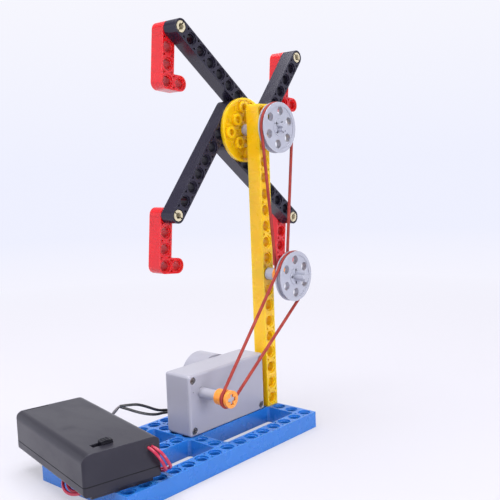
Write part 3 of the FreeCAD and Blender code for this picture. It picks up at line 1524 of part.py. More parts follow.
splices = []
for start, end in joints.values():
    along_wire = V(*end) - V(*start)
    splices.append(Part.makeCylinder(float(lead_diameter) / 2, along_wire.Length, V(*start), along_wire))
from_shape("lead_splices", Part.makeCompound(splices))

# ==== checks and files
doc.recompute()
for item in doc.Objects:
    if "Invalid" in item.State or "Error" in item.State:
        raise ValueError(f"{item.Label} did not recompute: {item.State}")
os.makedirs("parts", exist_ok=True)
for item in finished:
    shape = item.Shape
    if shape.isNull() or not shape.isValid() or not shape.Solids:
        raise ValueError(f"{item.Label} has no valid solid")
    shape.exportStep(f"parts/{item.Label}.step")
print(f"{len(finished)} pieces written")
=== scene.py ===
import math

import bpy
import numpy as np
from mathutils import Matrix, Vector


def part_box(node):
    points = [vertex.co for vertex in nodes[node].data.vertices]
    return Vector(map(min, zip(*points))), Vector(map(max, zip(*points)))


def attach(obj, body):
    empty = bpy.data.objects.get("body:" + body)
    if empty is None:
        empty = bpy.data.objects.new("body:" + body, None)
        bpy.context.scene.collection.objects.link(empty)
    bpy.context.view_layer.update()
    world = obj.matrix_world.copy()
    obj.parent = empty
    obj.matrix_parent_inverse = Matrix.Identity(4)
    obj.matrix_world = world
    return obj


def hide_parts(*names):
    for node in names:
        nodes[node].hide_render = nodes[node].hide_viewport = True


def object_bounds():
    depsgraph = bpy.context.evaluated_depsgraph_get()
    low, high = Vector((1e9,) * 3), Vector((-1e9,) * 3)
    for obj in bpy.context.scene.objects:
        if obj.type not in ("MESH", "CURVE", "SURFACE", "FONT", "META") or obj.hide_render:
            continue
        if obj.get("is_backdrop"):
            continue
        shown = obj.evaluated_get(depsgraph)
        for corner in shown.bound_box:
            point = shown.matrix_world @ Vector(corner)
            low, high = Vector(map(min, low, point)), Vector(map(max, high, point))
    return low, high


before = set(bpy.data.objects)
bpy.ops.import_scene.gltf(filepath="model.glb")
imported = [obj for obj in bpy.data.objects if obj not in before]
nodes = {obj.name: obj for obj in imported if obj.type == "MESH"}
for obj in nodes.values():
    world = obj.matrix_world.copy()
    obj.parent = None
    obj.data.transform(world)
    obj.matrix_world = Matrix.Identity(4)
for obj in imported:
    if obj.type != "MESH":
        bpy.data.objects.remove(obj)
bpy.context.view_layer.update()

# ---------------------------------------------------------------- camera
# A 54 mm lens at table height, turned 49 degrees to the left of the belts' side and rolled two
# degrees, as a hand-held camera is.
turn, rise, roll = -0.84885, 0.11480, -0.03594
camera_place = (-0.230455, -0.244323, 0.131169)
sensor_width = 36.0
focal_pixels, frame_pixels = 751.966, 500
level_part = math.cos(rise)
backwards = Vector((math.sin(turn) * level_part, -math.cos(turn) * level_part, math.sin(rise)))
level_right = (-backwards).cross(Vector((0, 0, 1))).normalized()
level_up = level_right.cross(-backwards)
right = level_right * math.cos(roll) + level_up * math.sin(roll)
up = level_up * math.cos(roll) - level_right * math.sin(roll)
lens = bpy.data.cameras.new("camera")
lens.sensor_width = sensor_width
lens.lens = sensor_width * focal_pixels / frame_pixels
lens.clip_start, lens.clip_end = 0.02, 20.0
camera = bpy.data.objects.new("camera", lens)
camera_turn = Matrix((right, up, backwards)).transposed().to_4x4()
camera.matrix_world = Matrix.Translation(camera_place) @ camera_turn
bpy.context.scene.collection.objects.link(camera)
bpy.context.scene.camera = camera
bpy.context.scene.view_settings.view_transform = "Standard"


# ---------------------------------------------------------------- leads
# Four stranded copper wires in soft PVC sleeves: two red ones from the battery box, two black
# ones from the motor. They lie slack, and each black end is twisted onto a red one.
class Value:
    """One output socket of a node tree. + - * / < > and abs() add Math nodes to the tree, and so does |,
    which joins two masks by taking the larger."""

    def __init__(self, tree, socket):
        self.tree = tree
        self.socket = socket

    def maths(self, operation, first, second=0.0):
        node = self.tree.nodes.new("ShaderNodeMath")
        node.operation = operation
        for socket, value in zip(node.inputs, (first, second)):
            connect(self.tree, value, socket)
        return Value(self.tree, node.outputs[0])

    def __add__(self, other):
        return self.maths("ADD", self, other)

    def __sub__(self, other):
        return self.maths("SUBTRACT", self, other)

    def __rsub__(self, other):
        return self.maths("SUBTRACT", other, self)

    def __mul__(self, other):
        return self.maths("MULTIPLY", self, other)

    def __truediv__(self, other):
        return self.maths("DIVIDE", self, other)

    def __lt__(self, other):
        return self.maths("LESS_THAN", self, other)

    def __gt__(self, other):
        return self.maths("GREATER_THAN", self, other)

    def __or__(self, other):
        return self.maths("MAXIMUM", self, other)

    def __abs__(self):
        return self.maths("ABSOLUTE", self)

    __radd__ = __add__
    __rmul__ = __mul__


def connect(tree, value, socket):
    """Links a Value to a socket, or sets the socket to a plain number, colour or vector."""
    if isinstance(value, Value):
        tree.links.new(value.socket, socket)
    elif socket.type == "RGBA":
        socket.default_value = (*value, 1.0)
    else:
        socket.default_value = value


class Shading:
    """The node tree of a material or of the world; node() is the one way to add to it."""

    def __init__(self, owner):
        owner.use_nodes = True
        self.tree = owner.node_tree

    def node(self, kind, settings=None, inputs=None, output=0):
        node = self.tree.nodes.new("ShaderNode" + kind)
        for name, value in (settings or {}).items():
            if name == "stops":
                elements = node.color_ramp.elements
                while len(elements) < len(value):
                    elements.new(0.5)
                for stop, (place, shade) in zip(elements, value):
                    colour = shade if isinstance(shade, tuple) else (shade, shade, shade)
                    stop.position = place
                    stop.color = (*colour, 1)
            else:
                setattr(node, name, value)
        for name, value in (inputs or {}).items():
            connect(self.tree, value, node.inputs[name])
        return Value(self.tree, node.outputs[output])

    def ramp(self, value, *stops):
        """A colour ramp; each stop is a position and a grey level or a colour."""
        return self.node("ValToRGB", {"stops": stops}, {"Fac": value})

    def vectors(self, operation, first, second=(0, 0, 0), output="Value"):
        return self.node("VectorMath", {"operation": operation}, {0: first, 1: second}, output)

    def mix(self, factor, first, second):
        return self.node("Mix", {"data_type": "RGBA"}, {0: factor, 6: first, 7: second}, 2)


class Finish(Shading):
    """A material and its Principled shader."""

    def __init__(self, name, **fixed):
        self.material = bpy.data.materials.new(name)
        super().__init__(self.material)
        self.shader = self.tree.nodes["Principled BSDF"]
        self.set(**fixed)

    def set(self, **sockets):
        for name, value in sockets.items():
            connect(self.tree, value, self.shader.inputs[name.replace("_", " ")])

    def place(self):
        return self.node("TexCoord", output="Object")

    def noise(self, size, detail=2.0, roughness=0.5, stretch=None):
        """Fractal noise whose features are size metres across; stretch lengthens them along X, Y, Z."""
        where = self.place()
        if stretch:
            squeeze = [1 / length for length in stretch]
            where = self.node("Mapping", inputs={"Vector": where, "Scale": squeeze})
        sockets = {"Vector": where, "Scale": 1 / size, "Detail": detail, "Roughness": roughness}
        return self.node("TexNoise", inputs=sockets)

    def bump(self, height, depth, normal=None):
        """A Bump node depth metres deep, on the surface's own normal or on the one given."""
        sockets = {"Height": height, "Distance": depth, "Strength": 1.0}
        if normal:
            sockets["Normal"] = normal
        return self.node("Bump", inputs=sockets)


def sleeve_finish(name, colour, dusty):
    """Soft PVC: satin, a little uneven from the extruder, with dust that greys it in patches."""
    finish = Finish(name, Coat_Weight=0.25, Coat_Roughness=0.3)
    dust = finish.ramp(finish.noise(0.006, 4), (0.45, 0.0), (0.75, 1.0))
    finish.set(Base_Color=finish.mix(dust * 0.35, colour, dusty))
    finish.set(Roughness=0.32 + dust * 0.2)
    finish.set(Normal=finish.bump(finish.noise(0.0008, 3), 0.00004))
    return finish.material


def soft_line(name, route):
    """A NURBS curve of order 3 that starts and ends at the first and last of its points, which are given
    in millimetres."""
    curve = bpy.data.curves.new(name, "CURVE")
    curve.dimensions = "3D"
    spline = curve.splines.new("NURBS")
    spline.points.add(len(route) - 1)
    for point, place in zip(spline.points, route):
        point.co = (*(value / 1000 for value in place), 1)
    spline.order_u = 3
    spline.use_endpoint_u = True
    spline.resolution_u = 8
    line = bpy.data.objects.new(name, curve)
    bpy.context.scene.collection.objects.link(line)
    return line


splice_a = ((-17.6, 27.2, 21.2), (-22.8, 27.3, 18.4))
splice_b = ((-16.8, 28.8, 20.5), (-21.2, 29.5, 16.6))
lead_routes = {
    "battery_lead_1": [
        (-44.15, -25.27, 22.2), (-43.9, -28.4, 21.7), (-42.9, -31.0, 19.2), (-41.4, -31.6, 16.2),
        (-39.0, -30.2, 13.6), (-36.8, -26.8, 11.3), (-35.1, -22.2, 9.3), (-36.2, -17.6, 8.4),
        (-40.4, -14.4, 6.0), (-45.2, -12.9, 5.9), (-49.8, -12.3, 8.65), (-54.8, -12.5, 8.65),
        (-60.0, -11.7, 8.75), (-64.3, -9.0, 7.2), (-66.6, -4.6, 5.8), (-66.2, 0.4, 5.8),
        (-64.0, 4.4, 7.3), (-60.4, 7.4, 8.85), (-55.8, 9.6, 8.65), (-50.6, 10.2, 8.65),
        (-45.6, 10.1, 6.4), (-40.6, 11.2, 4.6), (-35.6, 13.4, 4.9), (-31.2, 16.6, 7.6),
        (-27.6, 20.4, 11.0), (-25.2, 24.2, 14.6), splice_a[1],
    ],
    "battery_lead_2": [
        (-45.72, -24.95, 22.2), (-45.5, -27.9, 21.3), (-44.4, -30.2, 18.5), (-42.8, -30.6, 15.2),
        (-40.5, -29.0, 12.5), (-38.4, -25.6, 10.5), (-37.2, -21.4, 8.8), (-39.4, -17.6, 8.0),
        (-42.8, -15.9, 5.8), (-46.8, -14.7, 5.8), (-50.8, -13.9, 8.65), (-55.6, -14.1, 8.65),
        (-60.6, -13.5, 8.75), (-65.4, -10.6, 7.2), (-68.4, -5.2, 5.5), (-68.0, 0.9, 5.5),
        (-65.2, 5.8, 7.1), (-60.9, 9.3, 8.85), (-55.6, 11.4, 8.65), (-50.2, 12.0, 8.55),
        (-45.4, 12.0, 6.2), (-40.6, 13.2, 4.4), (-35.8, 15.7, 5.2), (-31.4, 19.0, 8.2),
        (-28.2, 22.9, 9.8), (-24.6, 26.8, 12.6), splice_b[1],
    ],
    "motor_lead_1": [
        (9.6, 14.1, 14.6), (9.3, 18.4, 14.1), (5.6, 21.6, 14.0), (0.7, 22.0, 15.2),
        (-3.5, 23.2, 17.6), (-8.9, 24.6, 20.3), (-14.1, 26.0, 21.0), splice_a[0],
    ],
    "motor_lead_2": [
        (8.2, 14.1, 13.4), (7.9, 18.0, 13.2), (4.4, 20.8, 13.4), (-0.4, 21.2, 13.6),
        (-4.4, 22.4, 14.5), (-9.3, 24.6, 16.5), (-13.4, 27.2, 18.8), splice_b[0],
    ],
}
sleeve_radius = 0.00065
red_sleeve = sleeve_finish("red_sleeve", (0.42, 0.010, 0.05), (0.50, 0.07, 0.11))
black_sleeve = sleeve_finish("black_sleeve", (0.012, 0.012, 0.014), (0.05, 0.05, 0.055))
leads = {}
for node, route in lead_routes.items():
    lead = soft_line(node + "_sleeve", route)
    lead.data.bevel_depth = sleeve_radius
    lead.data.bevel_resolution = 4
    lead.data.use_fill_caps = True
    lead.data.materials.append(red_sleeve if node.startswith("battery") else black_sleeve)
    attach(lead, "base")
    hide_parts(node)
    leads[node] = lead


# ---------------------------------------------------------------- twisted joints
# The stripped ends of a red and a black lead: fine tinned strands, seven to a joint, twisted
# together by hand and left bare.
def made(name, points, faces, material, smooth=True):
    """A mesh object from an array of points and a list of faces, given its finish."""
    mesh = bpy.data.meshes.new(name)
    mesh.from_pydata(np.asarray(points).reshape(-1, 3).tolist(), [], faces)
    mesh.materials.append(material)
    if smooth:
        mesh.shade_smooth()
    piece = bpy.data.objects.new(name, mesh)
    bpy.context.scene.collection.objects.link(piece)
    return piece


def grid_faces(rows, columns, close_rows=False, first=0):
    """Quads of a grid of points, the first of which has the number first: row i, column j joins the next
    row and column. Each row is a closed ring, and so is each column if close_rows is set."""
    last_row = rows if close_rows else rows - 1
    i, j = np.meshgrid(np.arange(last_row), np.arange(columns), indexing="ij")
    down, across = (i + 1) % rows, (j + 1) % columns
    corners = (i * columns + j, i * columns + across, down * columns + across, down * columns + j)
    return (np.stack(corners, -1).reshape(-1, 4) + first).tolist()


def carried(path, radius, sides, off_path, closed=False):
    """Points of a round tube: path + radius (cos a N + sin a B), with N, B across the path's tangent T:
    N = off_path x T and B = T x N, where off_path is a direction that the path never takes."""
    path = np.asarray(path, float)
    ahead = np.roll(path, -1, 0) - np.roll(path, 1, 0) if closed else np.gradient(path, axis=0)
    along = ahead / np.linalg.norm(ahead, axis=1, keepdims=True)
    across = np.cross(np.asarray(off_path, float)[None], along)
    across /= np.linalg.norm(across, axis=1, keepdims=True)
    beside = np.cross(along, across)
    angle = np.linspace(0, 2 * math.pi, sides, endpoint=False)[None, :, None]
    ring = np.cos(angle) * across[:, None] + np.sin(angle) * beside[:, None]
    return path[:, None] + radius * ring


tinned = Finish("tinned_strands", Metallic=1.0)
tarnish = tinned.ramp(tinned.noise(0.0012, 4), (0.4, 0.0), (0.7, 1.0))
tinned.set(Base_Color=tinned.mix(tarnish, (0.22, 0.215, 0.23), (0.11, 0.10, 0.105)))
tinned.set(Roughness=0.28 + tarnish * 0.25)
strands, strand_sides, strand_radius = 7, 8, 0.00019
twist_radius, twist_turns = 0.00046, 1.6
t = np.linspace(0, 1, 60)
spread = twist_radius * np.sin(math.pi * np.clip(t * 1.1 + 0.08, 0, 1)) ** 0.4
for label, (start, end) in {"a": splice_a, "b": splice_b}.items():
    start, end = np.array(start) / 1000, np.array(end) / 1000
    along = (end - start) / np.linalg.norm(end - start)
    across = np.cross(along, (0, 1, 0))
    beside = np.cross(along, across)
    points, faces = [], []
    for strand in range(strands):
        wind = 2 * math.pi * strand / strands + 2 * math.pi * twist_turns * t
        path = start + np.outer(t, end - start)
        path = path + np.outer(spread * np.cos(wind), across) + np.outer(spread * np.sin(wind), beside)
        faces += grid_faces(len(t), strand_sides, first=len(points) * len(t) * strand_sides)
        points.append(carried(path, strand_radius, strand_sides, (0, 1, 0)))
    twist = made(f"twisted_joint_{label}", np.concatenate(points), faces, tinned.material)
    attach(twist, "base")
    if label == "a":
        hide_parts("lead_splices")
for node, lead in leads.items():
    start = [value / 1000 for value in lead_routes[node][0]]


# ---------------------------------------------------------------- base frame
# A ladder frame of construction beams moulded in one piece in glossy blue ABS, with pin holes
# along every bar. The other kit pieces share its finish in their own colours.
def rounded_edges(finish, radius, least):
    """The normal softened over edges of this radius, and a mask of those edges, from how far the softened
    normal N leans from the flat one F: 1 - N.F. The mask is rubbed in patches, down to least; the finishes
    paint their edges paler by it, partly as wear and partly as a painted highlight."""
    softened = finish.node("Bevel", {"samples": 6}, {"Radius": radius})
    flat = finish.node("NewGeometry", output="Normal")
    lean = 1 - finish.vectors("DOT_PRODUCT", softened, flat)
    rubbed = finish.ramp(finish.noise(0.003, 4), (0.4, least), (0.7, 1.0))
    return softened, finish.ramp(lean, (0.01, 0.0), (0.12, 1.0)) * rubbed


def moulded_finish(name, colour, pale, rough=0.3, edge=0.00022, coat=0.3, glow=0.0, gloss=0.5):
    """Injection-moulded plastic: rounded edges painted paler, partly as wear and partly as a painted
    highlight, slight sink and flow marks, a fine skin and soft handling marks that dull the gloss. glow is
    the share of light that spreads under the surface, gloss how much it mirrors."""
    finish = Finish(name, Coat_Weight=coat, Coat_Roughness=0.16, IOR=1.5)
    finish.set(Specular_Tint=(0.9, 0.9, 1.0), Specular_IOR_Level=gloss)
    if glow:
        spread_by_colour = (1.0, 0.9, 0.3)
        finish.set(Subsurface_Weight=glow, Subsurface_Radius=spread_by_colour, Subsurface_Scale=0.005)
    softened, edge_wear_and_highlight = rounded_edges(finish, edge, 0.15)
    flow = finish.ramp(finish.noise(0.018, 3, stretch=(3, 1, 1)), (0.3, 0.0), (0.7, 1.0))
    smear = finish.ramp(finish.noise(0.009, 5, 0.6), (0.45, 0.0), (0.72, 1.0))
    deep = [channel * 0.92 for channel in colour]
    # The edges are painted paler: partly wear, partly a painted highlight along them.
    finish.set(Base_Color=finish.mix(edge_wear_and_highlight * 0.55, finish.mix(flow, deep, colour), pale))
    finish.set(Roughness=rough + smear * 0.07 + edge_wear_and_highlight * 0.1)
    grain, sink, skin_depth = finish.noise(0.0016, 2), finish.noise(0.012, 1), 0.0000048
    finish.set(Normal=finish.bump(grain + sink * 1.5, skin_depth, softened))
    return finish.material


def dress(material, *names):
    """Gives CAD nodes their finish."""
    for name in names:
        mesh = nodes[name].data
        mesh.materials.clear()
        mesh.materials.append(material)


blue = moulded_finish("blue_abs", (0.018, 0.175, 0.61), (0.12, 0.36, 0.82), rough=0.26, glow=0.1)
dress(blue, "base_frame", "tower_bracket")

# ---------------------------------------------------------------- tower
# A nineteen-hole beam in yellow ABS, standing on the base and pegged to an angle behind it.
# Yellow lets light into the plastic, so its holes stay bright inside.
yellow = moulded_finish("yellow_abs", (0.90, 0.515, 0.003), (1.0, 0.72, 0.12), rough=0.26, glow=0.6)
dress(yellow, "tower_beam", "hub_disc", "bracket_pegs")

# ---------------------------------------------------------------- axles, pulleys and bushes
# Cross axles, grooved pulleys and spacers in pale lavender-grey ABS, and two small pulleys in
# orange. Each is moulded whole and pressed along its axle.
# The near-white second colour paints the rims and edges bright: a painted highlight, with some wear.
grey = moulded_finish("grey_abs", (0.42, 0.43, 0.51), (0.92, 0.93, 0.98), rough=0.2, edge=0.0002)
dress(grey, "upper_axle", "lower_axle", "upper_pulley", "lower_pulley")
dress(grey, "upper_ring", "lower_ring", "wheel_spacer", "wheel_retainer")
# The second colour paints the edges paler: partly wear, partly a painted highlight.
clear_orange, worn_and_highlight_orange = (0.94, 0.31, 0.04), (1.0, 0.50, 0.16)
orange = moulded_finish("orange_abs", clear_orange, worn_and_highlight_orange, rough=0.26, edge=0.0002, glow=0.1)
dress(orange, "transfer_pulley", "motor_pulley")

# ---------------------------------------------------------------- wheel arms, seats and pins
# Four nine-hole beams in black ABS, four red L-shaped seats, and hollow acetal pins that hold
# each seat to its arm and let it swing.
# The second colour paints the edges paler: partly wear, partly a painted highlight.
deep_black, worn_and_highlight_black = (0.014, 0.0115, 0.026), (0.085, 0.08, 0.115)
black = moulded_finish("black_abs", deep_black, worn_and_highlight_black, rough=0.24, coat=0.1, gloss=0.4)
dress(black, "arm_1", "arm_2", "arm_3", "arm_4")
red = moulded_finish("red_abs", (0.67, 0.006, 0.011), (0.90, 0.16, 0.18), rough=0.27, glow=0.6)
dress(red, "seat_1", "seat_2", "seat_3", "seat_4")
# The second colour paints the edges paler: partly wear, partly a painted highlight.
pin_cream, worn_and_highlight_cream = (0.62, 0.55, 0.38), (0.76, 0.70, 0.54)
cream = moulded_finish("cream_acetal", pin_cream, worn_and_highlight_cream, rough=0.34, edge=0.00012, coat=0.1)
dress(cream, "seat_pin_1", "seat_pin_2", "seat_pin_3", "seat_pin_4")

# ---------------------------------------------------------------- motor box
# A deep housing and a flat cover in light grey ABS, a round cap over the motor, and a train of
# ivory acetal gears on steel pins inside.
# The pale second colour paints the edges bright: a painted highlight, with some wear.
box_grey = moulded_finish("motor_box_abs", (0.385, 0.38, 0.45), (0.70, 0.70, 0.79), edge=0.0003)
dress(box_grey, "gearbox_cover", "gearbox_housing", "motor_cap", "output_shaft")
# The second colour paints the edges paler: partly wear, partly a painted highlight.
gear_ivory, worn_and_highlight_ivory = (0.75, 0.72, 0.62), (0.85, 0.83, 0.76)
ivory = moulded_finish("ivory_acetal", gear_ivory, worn_and_highlight_ivory, rough=0.4, edge=0.0001, coat=0.0)
dress(ivory, "motor_pinion", "first_gear", "second_gear", "output_gear")


def metal_finish(name, colour, dull, rough=0.28):
    """Plated steel: fine drawn lines, and faint blotches where the plating has dulled."""
    finish = Finish(name, Metallic=1.0)
    lines = finish.ramp(finish.noise(0.0004, 3, stretch=(6, 1, 1)), (0.4, 0.0), (0.7, 1.0))
    blotch = finish.ramp(finish.noise(0.003, 4), (0.45, 0.0), (0.75, 1.0))
    finish.set(Base_Color=finish.mix(blotch * 0.6 + lines * 0.25, colour, dull))
    finish.set(Roughness=rough + lines * 0.12 + blotch * 0.12)
    finish.set(Normal=finish.bump(lines, 0.000012))
    return finish.material


steel = metal_finish("plated_steel", (0.58, 0.57, 0.56), (0.34, 0.33, 0.32))
dress(steel, "lid_screw", "gear_pins", "motor_shaft", "motor_can", "contact_plates")

# ---------------------------------------------------------------- cover screws
# Four small self-tapping screws with low cross-recessed heads, sunk in the cover's corners, in a
# darker steel than the pins and plates.
screw_sides = 72
head_radius, shank_radius, thread_pitch = 0.0015, 0.0008, 0.0007
head_sink, tip_gap = 0.0002, 0.0012


def screw(head_middle, length):
    """A screw along +Y. Its head is a disc of radius r in rings at q r, whose height is a low dome less a
    cross-shaped recess: h = r (dome (1 - q^2) - recess clip((w - near) / s) clip((l - far) / e)), where
    near and far are the smaller and the larger of |x| and |z| over r. Its last two rings are the rim. The
    shank is a tube whose radius carries a rounded thread, one turn to each thread_pitch, and narrows to
    its tip."""
    dome, recess, rim_drop, head_depth = 0.12, 0.42, 0.08, 0.62
    slot_half_width, slot_side, slot_reach, slot_end = 0.17, 0.08, 0.66, 0.12
    thread_depth, taper, tip = 0.12, 0.12, 0.02
    q = np.concatenate([np.linspace(0.0, 0.97, 22), [1.0, 1.0]])[:, None]
    angle = np.linspace(0, 2 * math.pi, screw_sides, endpoint=False)
    x, z = q * np.cos(angle), q * np.sin(angle)
    near, far = np.minimum(np.abs(x), np.abs(z)), np.maximum(np.abs(x), np.abs(z))
    slot = np.clip((slot_half_width - near) / slot_side, 0, 1)
    slot = slot * np.clip((slot_reach - far) / slot_end, 0, 1)
    y = -head_radius * (dome * (1 - q**2) - recess * slot)
    y[-2], y[-1] = rim_drop * head_radius, head_depth * head_radius
    head = np.stack([x * head_radius, y, z * head_radius], -1)
    t = np.linspace(0, 1, 90)[:, None]
    thread = 1 - thread_depth + thread_depth * np.cos(2 * math.pi * t * length / thread_pitch - angle)
    thread = shank_radius * thread * np.clip((1 + tip - t) / taper, tip, 1)
    down = head_depth * head_radius + t * length + 0 * angle
    shank = np.stack([thread * np.cos(angle), down, thread * np.sin(angle)], -1)
    return np.concatenate([head, shank]) + np.asarray(head_middle)


screw_low, screw_high = (np.array(corner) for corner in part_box("cover_screws"))
shank_length = screw_high[1] - screw_low[1] - tip_gap
points, faces = [], []
for x in (screw_low[0] + head_radius, screw_high[0] - head_radius):
    for z in (screw_low[2] + head_radius, screw_high[2] - head_radius):
        one = screw((x, screw_low[1] + head_sink, z), shank_length)
        faces += grid_faces(len(one), screw_sides, first=len(points) * len(one) * screw_sides)
        points.append(one)
dark_steel = metal_finish("dark_plated_steel", (0.30, 0.28, 0.27), (0.12, 0.11, 0.11), rough=0.3)
cover_screws = made("cover_screw_set", np.stack(points), faces, dark_steel)
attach(cover_screws, "base")
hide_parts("cover_screws")

# ---------------------------------------------------------------- battery box
# A case and a lid in black ABS with a fine spark-eroded skin, a gate mark on the lid, a finger
# notch at its end, and soft glands where the leads leave. It stands askew on the base.
box_turn = math.radians(11.6)
box_place = (-49.7, 10.83, 7.8)


def on_box(points):
    """Points in the battery box's own frame, in millimetres from the middle of its underside, put on
    the base in metres: turned clockwise by box_turn about Z, then moved to box_place."""
    x, y, z = np.moveaxis(np.asarray(points, float), -1, 0)
    c, s = math.cos(box_turn), math.sin(box_turn)
    return (np.stack([x * c + y * s, y * c - x * s, z], -1) + box_place) / 1000


gate_place, gate_radius = on_box((-7.6, -1.6, 18.2)), 0.005
notch_place = on_box((-6.9, 33.6, 17.85))
notch_half_length, notch_half_width, notch_low, notch_high = 0.0052, 0.0006, 0.0250, 0.0259
seam_level, seam_half_width = 0.0134, 0.00022
box_black = Finish("battery_box_abs", Specular_Tint=(0.88, 0.87, 1.0), Specular_IOR_Level=0.48)
softened, edge_wear_and_highlight = rounded_edges(box_black, 0.0004, 0.1)
smear = box_black.ramp(box_black.noise(0.014, 5, 0.62, (1, 2.2, 1)), (0.42, 0.0), (0.75, 1.0))
from_gate = box_black.vectors("DISTANCE", box_black.place(), gate_place)
patches = box_black.ramp(box_black.noise(0.004, 3), (0.35, 0.4), (0.65, 1.0))
gate_mark = box_black.ramp(from_gate * (1 / gate_radius), (0.35, 1.0), (1.0, 0.0)) * patches
from_notch = box_black.vectors("SUBTRACT", box_black.place(), notch_place, "Vector")
metre_long, metre_wide = (1000, 0, 0), (0, 1000, 0)
within = 1.0
for metre, reach in ((metre_long, notch_half_length), (metre_wide, notch_half_width)):
    away = box_black.vectors("DOT_PRODUCT", from_notch, on_box(metre) - on_box((0, 0, 0)))
    within = within * (abs(away) < reach)
level = box_black.node("SeparateXYZ", inputs={0: box_black.place()}, output=2)
in_notch = within * (level < notch_high) * (level > notch_low)
# The notch floor and a thin line at the seam between case and lid are painted near-black and rough:
# painted shade in the notch and in the seam gap.
shade = in_notch | (abs(level - seam_level) < seam_half_width)
skin_colour = box_black.mix(smear * 0.5, (0.0125, 0.0115, 0.019), (0.021, 0.020, 0.030))
# Edges are painted paler, partly as wear and partly as a painted highlight; the gate mark is a little
# paler too.
worn_and_highlight_skin = box_black.mix(edge_wear_and_highlight * 0.5 + gate_mark * 0.04, skin_colour, (0.10, 0.095, 0.12))
box_black.set(Base_Color=box_black.mix(shade, worn_and_highlight_skin, (0.001, 0.001, 0.0015)))
box_black.set(Roughness=0.30 + smear * 0.14 + gate_mark * 0.12 + shade * 0.5)
grain = box_black.noise(0.00035, 2)
box_black.set(Normal=box_black.bump(grain + gate_mark * 1.5, 0.000018, softened))
dress(box_black.material, "battery_case", "battery_lid", "switch_body")
# The second colour paints the edges paler: partly wear, partly a painted highlight.
rubber_black, worn_and_highlight_rubber = (0.018, 0.017, 0.022), (0.06, 0.06, 0.07)
gland_rubber = moulded_finish("gland_rubber", rubber_black, worn_and_highlight_rubber, rough=0.55, coat=0.0)
dress(gland_rubber, "battery_gland", "motor_gland")

# ---------------------------------------------------------------- cells and their contacts
# Two plain-jacketed cells: a shrunk dark sleeve with a copper-toned band at the nub end over a
# bright steel can, held between flat plates and two coiled springs.
cell_length = 0.0505
box_axis = on_box((0, 1, 0)) - on_box((0, 0, 0))
box_axis = box_axis / np.linalg.norm(box_axis)
for cell, nub_way in (("cell_1", -1), ("cell_2", 1)):
    low, high = (np.array(corner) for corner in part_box(cell))
    finish = Finish(cell + "_jacket", Coat_Weight=0.4, Coat_Roughness=0.12)
    from_middle = finish.vectors("SUBTRACT", finish.place(), (low + high) / 2, "Vector")
    along = finish.vectors("DOT_PRODUCT", from_middle, box_axis * nub_way)
    share = along / cell_length + 0.5
    tail_end = ((0.0, 1.0), (0.018, 1.0), (0.022, 0.0))
    nub_end = ((0.968, 0.0), (0.972, 1.0), (1.0, 1.0))
    bare = finish.ramp(share, *tail_end, *nub_end)
    band = finish.ramp(share, (0.70, 0.0), (0.71, 1.0))
    jacket = finish.mix(band, (0.016, 0.017, 0.022), (0.42, 0.19, 0.07))
    finish.set(Base_Color=finish.mix(bare, jacket, (0.60, 0.60, 0.60)), Metallic=bare)
    finish.set(Roughness=0.24 + finish.noise(0.004, 4) * 0.12)
    finish.set(Normal=finish.bump(finish.noise(0.0015, 3), 0.00001))
    dress(finish.material, cell)
coil_radius, coil_taper, coil_turns, coil_height = 3.5, 1.2, 3.6, 9.8
coil_clearance, coil_length = 0.3, 1.8
wire_radius, wire_sides = 0.0003, 10
points, faces = [], []
for x, y, way in ((-7.3, 32.65, -1), (7.3, -20.25, 1)):
    t = np.linspace(0, 1, 200)
    radius, wind = coil_radius - coil_taper * t, 2 * math.pi * coil_turns * t
    off_wall = y + way * (coil_clearance + coil_length * t)
    path = np.stack([x + radius * np.cos(wind), off_wall, coil_height + radius * np.sin(wind)], -1)
    faces += grid_faces(len(t), wire_sides, first=len(points) * len(t) * wire_sides)
    points.append(carried(on_box(path), wire_radius, wire_sides, box_axis))
springs = made("contact_coils", np.concatenate(points), faces, steel)
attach(springs, "base")
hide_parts("contact_springs")


# ---------------------------------------------------------------- switch slider
# A black slider whose top carries five ridges for a fingertip, on a stem that reaches down into
# the switch.
def bar_along_y(outline, low_y, high_y, soft):
    """A closed outline in X and Z carried from low_y to high_y in six rings: middle + (outline - middle)
    scale. At each end a ring drawn in by soft rounds the edge, and the last shrinks to the middle."""
    outline = np.asarray(outline, float)
    middle = outline.mean(0)
    shrink = 1 - soft / np.abs(outline - middle).max()
    scale = np.array([0.0, shrink, 1.0, 1.0, shrink, 0.0])[:, None, None]
    y = np.array([low_y, low_y, low_y + soft, high_y - soft, high_y, high_y])[:, None]
    rings = middle + (outline - middle) * scale
    return np.stack([rings[..., 0], y + 0 * rings[..., 0], rings[..., 1]], -1)


slider_x, slider_y, slider_top, slider_foot = -3.6, -27.3, 19.8, 17.3
half_length, half_width, edge_soft = 2.5, 1.6, 0.25
grooves, groove_depth, end_drop = 4, 0.28, 0.5
across = np.linspace(1, -1, 81)
groove = groove_depth * (0.5 - 0.5 * np.cos(2 * math.pi * grooves * (across + 1) / 2))
ridges = slider_top - groove - end_drop * np.abs(across) ** 14
ridge_line = np.stack([slider_x + half_length * across, ridges], -1)
feet = [(slider_x - half_length, slider_foot), (slider_x + half_length, slider_foot)]
cap_outline = np.concatenate([ridge_line, feet])
cap = on_box(bar_along_y(cap_outline, slider_y - half_width, slider_y + half_width, edge_soft))
stem_half, stem_top, stem_foot, stem_soft = 0.8, 17.2, 15.2, 0.1
stem_left, stem_right = slider_x - stem_half, slider_x + stem_half
stem_outline = [(stem_right, stem_top), (stem_left, stem_top)]
stem_outline += [(stem_left, stem_foot), (stem_right, stem_foot)]
stem = on_box(bar_along_y(stem_outline, slider_y - stem_half, slider_y + stem_half, stem_soft))
points = np.concatenate([cap.reshape(-1, 3), stem.reshape(-1, 3)])
faces = grid_faces(len(cap), len(cap_outline))
faces += grid_faces(len(stem), len(stem_outline), first=cap[..., 0].size)
